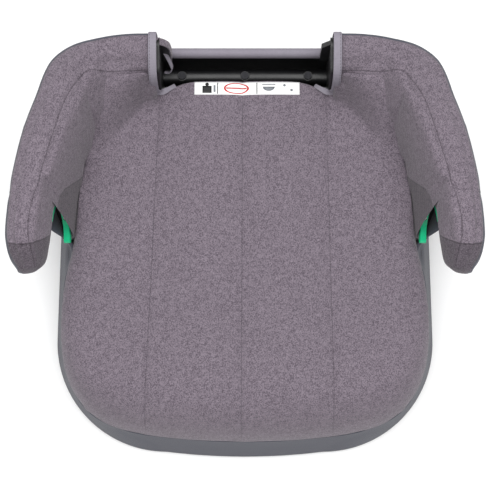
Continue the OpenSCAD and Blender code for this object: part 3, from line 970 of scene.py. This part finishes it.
def build_arms():
    sections = np.array(ARM_SECTIONS, float)
    knots = np.concatenate([[0], np.cumsum(np.linalg.norm(np.diff(sections, axis=0), axis=2).mean(1))])
    fine = []
    for i in range(len(knots) - 1):
        parts = max(3, round((knots[i + 1] - knots[i]) / 3.3))
        fine += [knots[i] + (knots[i + 1] - knots[i]) * k / parts for k in range(parts)]
    at = np.array(fine + [knots[-1]])
    rows = spline(knots, sections, at)
    loops = [section_loop(c, c.mean(0)) for c in rows]
    middles, sides, count = loop_places()
    first, last = loops[0], loops[-1]
    hub = first.mean(0)
    inner_rows = [hub + (first - hub) * f for f in (0.25, 0.6, 0.93)]
    centre, tip = last.mean(0), np.array(ARM_TIP, float)
    dome = [
        centre + (last - centre) * math.cos(a) + (tip - centre) * math.sin(a)
        for a in (math.radians(d) for d in (25, 48, 70))
    ]
    rings = inner_rows + loops + dome
    points = np.concatenate(rings + [[hub], [tip]])
    total = len(rings)
    faces = grid_faces(total, count, wrap=True)
    hub_at, tip_at = total * count, total * count + 1
    faces += [(hub_at, (c + 1) % count, c) for c in range(count)]
    end = (total - 1) * count
    faces += [(tip_at, end + c, end + (c + 1) % count) for c in range(count)]
    arm = new_piece("right_arm", points, faces)

    lead = len(inner_rows)
    row_place = np.concatenate([[0] * lead, at, [knots[-1]] * 3])
    throat_from, throat_to = knots[7], knots[14]
    seam_and_shade = np.zeros(len(points))
    held = np.zeros(len(points))
    grid = points[: total * count].reshape(total, count, 3)
    for r in range(total):
        held[r * count + middles[1]] = 1
        held[r * count + middles[2]] = 1
        held[r * count + middles[0]] = held[r * count + middles[3]] = 0.8
        strength = 1.0 if lead <= r < total - 3 else 0.0
        seam_and_shade[r * count + middles[1]] = strength
        seam_and_shade[r * count + middles[2]] = strength
    held[: (lead + 2) * count] = 1
    for r in range(total):
        if throat_from - 6 < row_place[r] < throat_to:
            low = grid[r, :, 2] < 150
            held[r * count : (r + 1) * count][low] = 1
    # The seam mark darkens the arm's sewn lines in the knit: their own line and painted shade of their
    # grooves.
    mark(arm, "seam_and_shade", seam_and_shade)

    # The cloth dips a little where it is sewn.
    centres = np.array([ring.mean(0) for ring in rings])
    for r in range(lead, total - 3):
        for k in (1, 2):
            i = r * count + middles[k]
            inward = centres[r] - points[i]
            points[i] += inward / np.linalg.norm(inward) * 1.2
    core = tree_of("right_wing")
    for r in range(lead, total):
        for i in range(r * count, (r + 1) * count):
            out = points[i] - centres[r]
            size = np.linalg.norm(out)
            far = outermost(core, centres[r], out / size, size + 14)
            if far + 3.5 > size:
                points[i] = centres[r] + out / size * (far + 3.5)
    set_points(arm, points)

    under = sides[3]
    smooth = range(middles[2], middles[3] + 1)
    stripes = [int(c in smooth or under[0] <= c < under[1]) for _ in range(total - 1) for c in range(count)]
    stripes += [0] * (len(faces) - len(stripes))
    # The padded front of the slot is sewn on as its own gusset, darkened in the knit as painted shade under
    # the arm's overhang: 0.5 of this value is its seam.
    y, z = points[:, 1], points[:, 2]
    gusset_shade = 0.5 + (68 - (z - 98) * 0.46 - y) / 40 - np.clip((z - 150) / 12, 0, 1)
    mark(arm, "gusset_shade", np.clip(gusset_shade, 0, 1))
    dress(arm, seat_knit(), smooth_cloth())
    tidy_arm = arm.data
    tidy_arm.polygons.foreach_set("material_index", stripes)
    recalc(arm)
    inflate(arm, held, 3.0, sizes().arm_swell / MM)
    refined(arm)
    left = mirror_copy(arm, "left_arm")
    for piece, side in ((arm, "right"), (left, "left")):
        hand_over(piece, "cover", f"{side}_arm_cover", f"{side}_arm_foam")


def recalc(piece):
    """Turns every face outwards without merging points."""
    work = bmesh.new()
    work.from_mesh(piece.data)
    bmesh.ops.recalc_face_normals(work, faces=work.faces)
    work.to_mesh(piece.data)
    work.free()


# ---------- skirt ----------

# Right half of the skirt's upper edge, from the front centre to its hem at the rear.
SKIRT_TOP = [
    (0, -187, 45), (60, -184.3, 45), (107, -178, 46), (135, -170, 49), (155, -157, 56), (168, -138, 65),
    (175, -118, 75), (178, -95, 82), (178.3, -60, 84), (175, -28, 85.5), (169, -2, 87), (172, 4, 86),
    (180, 10, 84), (185, 20, 82), (186, 54, 81), (184, 92, 81), (181, 132, 81), (180.5, 150, 81),
]
RIM_HALF, RIM_FRONT, RIM_END = 190.5, -199.0, 150.0
RIM_CORNER, MID_CORNER, RIM_TAPER, RIM_REAR = 112.0, 85.0, 4.5, 154.0
BOW_RADIUS = 640.0


def base_outline(inset, corner, places):
    """Points of the base's outline, drawn in by inset, at places from 0 (front centre) to 3 (rear end)."""
    half, front = RIM_HALF - inset, RIM_FRONT + inset
    corner_x = half - corner
    bow = corner_x**2 / (2 * BOW_RADIUS)
    points = []
    for t in places:
        if t < 1:
            x = corner_x * t
            points.append((x, front + x * x / (2 * BOW_RADIUS)))
        elif t < 2:
            a = math.radians(-90 + 90 * (t - 1))
            points.append((corner_x + corner * math.cos(a), front + bow + corner * (1 + math.sin(a))))
        else:
            start = front + bow + corner
            y = start + (RIM_END - start) * (t - 2)
            points.append((half - RIM_TAPER * (y - start) / (RIM_REAR - start), y))
    return np.array(points)


def inset_at(z):
    """How far the base's side is drawn in at a height."""
    return 12 * np.clip((z - 4) / 42, 0, 1) + np.clip((z - 46) / 32, 0, 1)


def build_skirt():
    top = rounded_line(SKIRT_TOP, 111)
    places = np.linspace(0, 3, 900)
    reference = base_outline(11, MID_CORNER, places)
    nearest = [places[int(np.argmin(np.hypot(*(reference - p[:2]).T)))] for p in top]
    nearest = np.maximum.accumulate(nearest)
    nearest = np.interp(np.arange(111), np.arange(0, 111, 5), nearest[::5])
    half_rows = []
    for s in (0.0, 0.03, 0.08, 0.16, 0.27, 0.4, 0.55, 0.7, 0.83, 0.93, 0.98, 1.0):
        z = top[:, 2] + (4.2 - top[:, 2]) * s
        corner = RIM_CORNER + (MID_CORNER - RIM_CORNER) * np.clip((z - 4) / 42, 0, 1)
        ring = np.array([base_outline(inset_at(h), c, [t])[0] for h, c, t in zip(z, corner, nearest)])
        hold = (1 - s) ** 5
        xy = ring * (1 - hold) + top[:, :2] * hold
        half_rows.append(np.column_stack([xy, z]))
    shell = tree_of("base_shell")
    for row in half_rows:
        run = np.gradient(row[:, :2], axis=0)
        out = np.column_stack([run[:, 1], -run[:, 0], np.zeros(len(row))])
        out /= np.linalg.norm(out, axis=1, keepdims=True)
        deep = np.array([outermost(shell, p - 15 * o, o, 40.0) - 15 for p, o in zip(row, out)])
        row += out * np.clip(deep + 2.4, 0, 14)[:, None]
    half_rows[0] = half_rows[0] * [1.004, 1.004, 1] + [0, 0, 1.5]
    tuck = half_rows[0].copy()
    tuck[:, :2] *= 0.975
    tuck[:, 2] -= 0.5
    under = half_rows[-1].copy()
    under[:, :2] *= 0.978
    under[:, 2] = 3.2
    lines = [mirrored_half(row) for row in [tuck, *half_rows, under]]
    columns = len(lines[0])
    skirt = new_piece("side_skirt_cloth", np.concatenate(lines), grid_faces(len(lines), columns))
    recalc_open(skirt, Vector((0, -1, 0.3)))
    refined(skirt)
    add_modifier(skirt, "SOLIDIFY", thickness=1.6 * MM, offset=-1)
    settle(skirt)
    dress(skirt, smooth_cloth())
    hand_over(skirt, "skirt", "side_skirt")
    run, tall = 0.98, 0.1


def recalc_open(piece, front):
    """Turns an open sheet so that the face seen from the front points that way."""
    low = min(piece.data.polygons, key=lambda p: p.center.y)
    if low.normal.dot(front) < 0:
        piece.data.flip_normals()


# ---------- edge tape, rear band and loop ----------

# Each row is a point on the right tape and the direction in which its outer face looks there.
TAPE_PATH = [
    (88.5, 197.2, 100, 0, 1, 0), (88.5, 196.8, 130, 0, 1, 0), (88.5, 196.2, 155, 0, 1, 0.15),
    (88.5, 192.5, 167.5, 0, 0.6, 1), (88.5, 181, 168, 0, -0.3, 1), (88.5, 166, 161.5, 0, -0.45, 1),
    (88.5, 157.5, 153, 0, -0.9, 0.7), (88.3, 153.6, 143, 0, -1, 0.2), (88.2, 152.4, 125, 0, -1, 0.1),
    (87.5, 151.9, 110, 0, -1, 0.2), (85.2, 152.2, 102.5, -0.1, -0.9, 0.5), (81, 153.5, 99, 0, -0.6, 0.8),
    (76.5, 156, 97.8, 0, -0.3, 1), (72.5, 158.6, 96.4, 0, -0.2, 1), (69, 161.5, 93, 0, -0.1, 1),
]


# The elastic loop in the left corner of the notch, and the fold of cloth behind it, in the same form.
LOOP_PATH = [
    (-83, 192, 118, 1, -0.6, 0.6), (-80, 189.5, 124, 1, -0.4, 1), (-77, 185, 120, 1, -0.4, 0.8),
    (-73.5, 180, 110, 1, -0.4, 0.4), (-72, 176.5, 101, 1, -0.3, 0), (-75, 174.5, 95, 1, -1, -0.6),
    (-80, 175, 94, 0.4, -1, -0.6),
]
FLAP_PATH = [
    (-85.5, 187.8, 161, 0.5, 0, 1), (-81, 187.8, 157.3, 0.6, 0, 1), (-74.3, 187.8, 146, 0.9, 0, 0.6),
    (-72.6, 187.8, 132, 1, 0, 0), (-72.6, 187.8, 99, 1, 0, 0),
]


def build_tapes():
    """Builds both edge tapes, the rear band, the elastic loop and the fold of cloth behind it."""
    width = sizes().tape_width / MM
    table = rounded_line(TAPE_PATH, 110)
    # The tape is gathered where it runs under the cushion's rear edge.
    widths = 1 - 0.45 * smooth_step(np.linspace(-7.5, 1.2, len(table)))
    right = swept("right_edge_tape", table[:, :3], table[:, 3:], rounded_box_profile(width, 2.0, 0.9), widths)
    refined(right)
    left = mirror_copy(right, "left_edge_tape")
    band = [(197.6, 84), (198.8, 90), (198.4, 95), (196, 97.2), (193.5, 96.9), (191.6, 94.5), (191.2, 88)]
    outer = rounded_line(band, 22)
    rows = [np.column_stack([np.full(len(outer), x), outer]) for x in np.linspace(-82, 82, 60)]
    strip = new_piece("rear_band", np.concatenate(rows), grid_faces(len(rows), len(outer)))
    recalc_open(strip, Vector((0, -1, 0)))
    add_modifier(strip, "SOLIDIFY", thickness=1.2 * MM, offset=0)
    settle(strip)
    loop = rounded_line(LOOP_PATH, 40)
    tab = swept("left_elastic_loop", loop[:, :3], loop[:, 3:], rounded_box_profile(4.6, 1.4, 0.6))
    refined(tab)
    fold = rounded_line(FLAP_PATH, 40)
    flap = swept("left_rear_flap", fold[:, :3], fold[:, 3:], rounded_box_profile(7.0, 1.2, 0.5))
    refined(flap)
    dress(flap, seat_knit())
    hand_over(flap, "cover")
    for piece in (right, left, strip, tab):
        dress(piece, tape_material())
    hand_over(right, "binding", "notch_binding")
    for piece in (left, strip, tab):
        hand_over(piece, "binding")
    tangent = np.gradient(table[:, :3], axis=0)
    side = np.cross(tangent, table[:, 3:])
    side /= np.linalg.norm(side, axis=1, keepdims=True)
    side *= np.sign(side[:, :1] + 1e-9) if abs(side[10, 0]) > 0.5 else 1
    up = table[:, 3:] / np.linalg.norm(table[:, 3:], axis=1, keepdims=True)
    edge = (table[:, :3] + side * 2.6 + up * 1.0)[6:100]
    bpy.context.scene["booster_tape_line"] = json.dumps(edge.round(3).tolist())


# ---------- label ----------

LABEL_X = (-50.0, 54.0)
LABEL_Y = (151.5, 164.8)


def surface_under(piece):
    graph = bpy.context.evaluated_depsgraph_get()
    return BVHTree.FromObject(piece, graph)


def drape_point(tree, x, y, lift):
    hit = tree.ray_cast(Vector((x, y, 300)) * MM, Vector((0, 0, -1)))[0]
    return (x, y, (hit.z / MM if hit else 93.0) + lift)


def patch(name, tree, x_range, y_range, lift, material, cell=1.5):
    """Thin patch that lies on the cushion."""
    xs = np.linspace(*x_range, max(2, round((x_range[1] - x_range[0]) / cell)))
    ys = np.linspace(*y_range, max(2, round((y_range[1] - y_range[0]) / cell)))
    points = [drape_point(tree, x, y, lift) for y in ys for x in xs]
    piece = new_piece(name, points, grid_faces(len(ys), len(xs)))
    add_modifier(piece, "SOLIDIFY", thickness=0.35 * MM, offset=1)
    settle(piece)
    return dress(piece, material)


def disc(name, tree, centre, outer, inner, lift, material, start=0, stop=360, squash=1.0):
    """Flat printed ring, disc or sector that lies on the label."""
    steps = max(8, round((stop - start) / 15))
    points = []
    for k in range(steps + 1):
        a = math.radians(start + (stop - start) * k / steps)
        for radius in (inner, outer):
            x, y = centre[0] + radius * math.cos(a), centre[1] + squash * radius * math.sin(a)
            points.append(drape_point(tree, x, y, lift))
    piece = new_piece(name, points, grid_faces(steps + 1, 2))
    if piece.data.polygons[0].normal.z < 0:
        piece.data.flip_normals()
    add_modifier(piece, "SOLIDIFY", thickness=0.12 * MM, offset=1)
    settle(piece)
    return dress(piece, material)


def build_label():
    tree = surface_under(bpy.data.objects["seat_cushion"])
    white = printed("label_white", linear((240, 240, 240)))
    black = printed("label_black", linear((14, 14, 16)))
    red = printed("label_red", linear((196, 40, 36)))
    grey = printed("label_grey", linear((120, 124, 130)))
    label = patch("info_label_cloth", tree, LABEL_X, LABEL_Y, 0.1, white)
    hand_over(label, "label", "info_label")
    top = 0.5
    marks = [
        patch("label_block", tree, (-42, -33), (153.2, 160.6), top, black),
        disc("label_block_knob", tree, (-37.5, 162.3), 1.8, 0.0, top, black),
        disc("label_ring", tree, (-8.5, 158.3), 12.5, 10.6, top, red, squash=0.46),
        patch("label_bar", tree, (-18.5, 1.5), (157.8, 158.9), top + 0.05, red, 1.0),
        disc("label_bowl", tree, (23.5, 159.8), 6.0, 0.0, top, grey, 180, 360, 0.75),
        patch("label_rule_left", tree, (-27.4, -26.6), (152.3, 164), top, black, 0.8),
        patch("label_rule_right", tree, (11.4, 12.2), (152.3, 164), top, black, 0.8),
        disc("label_dot_a", tree, (39, 161.3), 1.3, 0.0, top, grey),
        disc("label_dot_b", tree, (46, 156.3), 1.3, 0.0, top, grey),
        patch("label_line_a", tree, (17, 30), (161.8, 162.6), top, grey, 1.0),
        patch("label_line_b", tree, (-31, -29.2), (154.3, 161.3), top, grey, 1.0),
    ]
    for piece in marks:
        hand_over(piece, "label")


# ---------- belt guides ----------


def finish_node(node, material):
    """Gives a CAD node its finish through its object's material slots."""
    if not node.material_slots:
        raise RuntimeError(f"{node.name} has no material slot")
    for slot in node.material_slots:
        slot.material = material


def build_belt_guides():
    """Softens the edges of the moulded rims and gives them their gloss."""
    material = moulding("guide_gloss", colours().guide, rough=0.24, grain=0.0012, depth=0.00003)
    for side in ("left", "right"):
        rim = NODES[f"{side}_belt_guide"]
        sharp = math.radians(40)
        add_modifier(rim, "BEVEL", width=1.4 * MM, segments=3, limit_method="ANGLE", angle_limit=sharp)
        finish_node(rim, material)


# ---------- stitching ----------


def stitch_tree():
    """Sets one short stitch after another along every line it is given."""
    tree = bpy.data.node_groups.new("stitches_along_line", "GeometryNodeTree")
    face = tree.interface
    face.new_socket(name="Line", in_out="INPUT", socket_type="NodeSocketGeometry")
    for name, value in (("Pitch", 0.0032), ("Stitch length", 0.0023), ("Thread", 0.0005)):
        face.new_socket(name=name, in_out="INPUT", socket_type="NodeSocketFloat").default_value = value
    face.new_socket(name="Material", in_out="INPUT", socket_type="NodeSocketMaterial")
    face.new_socket(name="Geometry", in_out="OUTPUT", socket_type="NodeSocketGeometry")
    w = Wiring(tree)
    given = w.add("NodeGroupInput").outputs
    out = w.add("NodeGroupOutput")
    curve = w.add("GeometryNodeMeshToCurve", {"Mesh": given["Line"]})
    evenly = {"Curve": curve.outputs[0], "Length": given["Pitch"]}
    spaced = w.add("GeometryNodeResampleCurve", evenly, mode="LENGTH")
    tangent = w.add("GeometryNodeInputTangent").outputs[0]
    turn = w.add("FunctionNodeAlignRotationToVector", {"Vector": tangent}, axis="Z")
    bead = w.add("GeometryNodeMeshUVSphere", {"Segments": 6, "Rings": 4, "Radius": 0.5})
    size = w.add("ShaderNodeCombineXYZ", {0: given["Thread"], 1: given["Thread"], 2: given["Stitch length"]})
    beads = w.add("GeometryNodeInstanceOnPoints", {
        "Points": spaced.outputs[0], "Instance": bead.outputs["Mesh"], "Rotation": turn.outputs[0],
        "Scale": size.outputs[0]})
    solid = w.add("GeometryNodeRealizeInstances", {"Geometry": beads.outputs[0]})
    smooth = w.add("GeometryNodeSetShadeSmooth", {"Geometry": solid.outputs[0]})
    painted = w.add("GeometryNodeSetMaterial", {"Geometry": smooth.outputs[0], "Material": given["Material"]})
    tree.links.new(painted.outputs[0], out.inputs[0])
    return tree


def run_tree(piece, tree, values):
    """Runs a Geometry Nodes tree with inputs given by name, and keeps the result as a plain mesh."""
    modifier = piece.modifiers.new("Nodes", "NODES")
    modifier.node_group = tree
    for item in tree.interface.items_tree:
        if item.item_type == "SOCKET" and item.in_out == "INPUT" and item.name in values:
            modifier[item.identifier] = values[item.name]
    return settle(piece)


def line_piece(name, lines):
    """A mesh of bare edges that follows each line."""
    points, edges = [], []
    for line in lines:
        first = len(points)
        points += [tuple(p) for p in line]
        edges += [(first + k, first + k + 1) for k in range(len(line) - 1)]
    mesh = bpy.data.meshes.new(name)
    mesh.from_pydata((np.asarray(points) * MM).tolist(), edges, [])
    piece = bpy.data.objects.new(name, mesh)
    bpy.context.scene.collection.objects.link(piece)
    return piece


BAND_SEAM_Y, BAND_SEAM_Z = 199.3, 91.0


def build_stitching():
    scene = bpy.context.scene
    tree = stitch_tree()
    values = {
        "Pitch": sizes().stitch_pitch, "Stitch length": sizes().stitch_length, "Thread": sizes().thread,
        "Material": thread_material(),
    }
    channels = [np.array(line)[2:-1] for line in json.loads(scene["booster_channels"])]
    tape = np.array(json.loads(scene["booster_tape_line"]))
    twin = tape * np.array([-1, 1, 1])
    band = np.array([(x, BAND_SEAM_Y, BAND_SEAM_Z) for x in np.linspace(-79, 79, 80)])
    for name, lines, slot in (
        ("channel_stitches", channels, "cover"),
        ("tape_stitches", [tape, twin], "binding"),
        ("band_stitches", [band], "binding"),
    ):
        piece = run_tree(line_piece(name, lines), tree, values)
        hand_over(piece, slot)


# ---------- finishes of the CAD nodes ----------


def build_mouldings():
    shell = moulding("grained_shell", colours().shell, rough=0.42)
    steel = metal("drawn_steel", (0.56, 0.57, 0.59), 0.3, True)
    zinc = metal("zinc_plate", (0.48, 0.49, 0.5), 0.38, False)
    rubber = moulding("rubber", (0.012, 0.012, 0.012), rough=0.8, grain=0.0005, depth=0.0002)
    finishes = {
        "shell": shell, "steel": steel, "screw": zinc, "rubber": rubber,
        "cover": seat_knit(), "skirt": smooth_cloth(), "binding": tape_material(), "foam": foam_material(),
        "label": printed("label_white", linear((240, 240, 240))),
        "guide": moulding("guide_gloss", colours().guide, rough=0.24, grain=0.0012, depth=0.00003),
    }
    for row in frame["record"]["subparts"]:
        finish_node(NODES[row["node"]], finishes[row["material_slot"]])
    finish_node(NODES["rail_screws"], metal("black_zinc", (0.02, 0.02, 0.022), 0.42, False))


# ---------- stage ----------


FLOOR_HALF = 3000
VIEW_ANGLE = math.radians(15.06)
AIM = Vector((0, 0, 0.1))


def build_stage():
    stage = bpy.context.scene.booster_stage
    corners = [(sx * FLOOR_HALF, sy * FLOOR_HALF, 0) for sx, sy in ((-1, -1), (1, -1), (1, 1), (-1, 1))]
    floor = new_piece("floor", corners, [(0, 1, 2, 3)])
    material, _, shader = new_material("studio_floor")
    shader.inputs["Base Color"].default_value = (0.96, 0.96, 0.96, 1)
    shader.inputs["Roughness"].default_value = 0.5
    dress(floor, material)
    world = bpy.data.worlds.new("studio")
    world.use_nodes = True
    background = world.node_tree.nodes["Background"]
    background.inputs[0].default_value = (1, 1, 1, 1)
    background.inputs[1].default_value = stage.sky
    bpy.context.scene.world = world
    for name, place, size, share in (
        ("overhead", (0.0, 0.1, 2.0), 2.2, 1.0),
        ("front_fill", (0.4, -1.8, 1.2), 1.2, 0.08),
    ):
        light = bpy.data.lights.new(name, "AREA")
        light.energy = stage.softbox * share
        light.size = size
        lamp = bpy.data.objects.new(name, light)
        lamp.location = place
        lamp.rotation_mode = "QUATERNION"
        lamp.rotation_quaternion = (AIM - lamp.location).to_track_quat("-Z", "Y")
        bpy.context.scene.collection.objects.link(lamp)
    camera = bpy.data.cameras.new("camera")
    camera.sensor_width = 36
    camera.lens = camera.sensor_width / 2 / math.tan(VIEW_ANGLE / 2)
    camera.clip_start, camera.clip_end = 0.05, 50
    eye = bpy.data.objects.new("camera", camera)
    back = Vector((0, -math.cos(stage.camera_height), math.sin(stage.camera_height)))
    eye.location = AIM + back * stage.camera_distance
    eye.rotation_mode = "QUATERNION"
    eye.rotation_quaternion = (-back).to_track_quat("-Z", "Y")
    bpy.context.scene.collection.objects.link(eye)
    bpy.context.scene.camera = eye
    bpy.context.scene.view_settings.view_transform = "Standard"


# ---------- operators ----------


class BOOSTER_OT_stage(bpy.types.Operator):
    """Adds the floor, the light and the camera."""

    bl_idname = "booster.stage"
    bl_label = "Stage"

    def execute(self, context):
        build_stage()
        return {"FINISHED"}


class BOOSTER_OT_mouldings(bpy.types.Operator):
    """Gives each CAD node its finish."""

    bl_idname = "booster.mouldings"
    bl_label = "Mouldings and metal"

    def execute(self, context):
        build_mouldings()
        return {"FINISHED"}


class BOOSTER_OT_seat_cushion(bpy.types.Operator):
    """Builds the padded seat with its sewn channels."""

    bl_idname = "booster.seat_cushion"
    bl_label = "Seat cushion"

    def execute(self, context):
        build_seat_cushion()
        return {"FINISHED"}


class BOOSTER_OT_arms(bpy.types.Operator):
    """Builds both padded arms."""

    bl_idname = "booster.arms"
    bl_label = "Arms"

    def execute(self, context):
        build_arms()
        return {"FINISHED"}


class BOOSTER_OT_skirt(bpy.types.Operator):
    """Builds the smooth skirt round the base."""

    bl_idname = "booster.skirt"
    bl_label = "Skirt"

    def execute(self, context):
        build_skirt()
        return {"FINISHED"}


class BOOSTER_OT_tapes(bpy.types.Operator):
    """Builds the tape round the rear notch and the rear band."""

    bl_idname = "booster.tapes"
    bl_label = "Edge tapes"

    def execute(self, context):
        build_tapes()
        return {"FINISHED"}


class BOOSTER_OT_label(bpy.types.Operator):
    """Lays the sewn-in label on the cushion."""

    bl_idname = "booster.label"
    bl_label = "Label"

    def execute(self, context):
        build_label()
        return {"FINISHED"}


class BOOSTER_OT_belt_guides(bpy.types.Operator):
    """Softens both green belt guides and gives them their gloss."""

    bl_idname = "booster.belt_guides"
    bl_label = "Belt guides"

    def execute(self, context):
        build_belt_guides()
        return {"FINISHED"}


class BOOSTER_OT_stitching(bpy.types.Operator):
    """Sews the channels and tapes."""

    bl_idname = "booster.stitching"
    bl_label = "Stitching"

    def execute(self, context):
        build_stitching()
        return {"FINISHED"}


STEPS = [
    BOOSTER_OT_stage,
    BOOSTER_OT_mouldings,
    BOOSTER_OT_seat_cushion,
    BOOSTER_OT_arms,
    BOOSTER_OT_skirt,
    BOOSTER_OT_tapes,
    BOOSTER_OT_label,
    BOOSTER_OT_belt_guides,
    BOOSTER_OT_stitching,
]


class BOOSTER_PT_panel(bpy.types.Panel):
    """Lists the seat's pieces in the order in which they are built."""

    bl_idname = "BOOSTER_PT_panel"
    bl_label = "Booster Seat"
    bl_space_type = "VIEW_3D"
    bl_region_type = "UI"
    bl_category = "Booster Seat"

    def draw(self, context):
        for name in SETTINGS:
            settings = getattr(context.scene, name)
            box = self.layout.box()
            for key in settings.__annotations__:
                box.prop(settings, key)
        for step in STEPS:
            self.layout.operator(step.bl_idname)


SETTINGS = {"booster_sizes": BoosterSizes, "booster_colours": BoosterColours, "booster_stage": BoosterStage}


def register():
    for name, group_class in SETTINGS.items():
        bpy.utils.register_class(group_class)
        setattr(bpy.types.Scene, name, bpy.props.PointerProperty(type=group_class))
    for step in STEPS:
        bpy.utils.register_class(step)
    bpy.utils.register_class(BOOSTER_PT_panel)


def unregister():
    bpy.utils.unregister_class(BOOSTER_PT_panel)
    for step in reversed(STEPS):
        bpy.utils.unregister_class(step)
    for name, group_class in SETTINGS.items():
        delattr(bpy.types.Scene, name)
        bpy.utils.unregister_class(group_class)


def main():
    register()
    for step in STEPS:
        getattr(bpy.ops.booster, step.bl_idname.split(".")[1])()


if __name__ == "__main__":
    main()
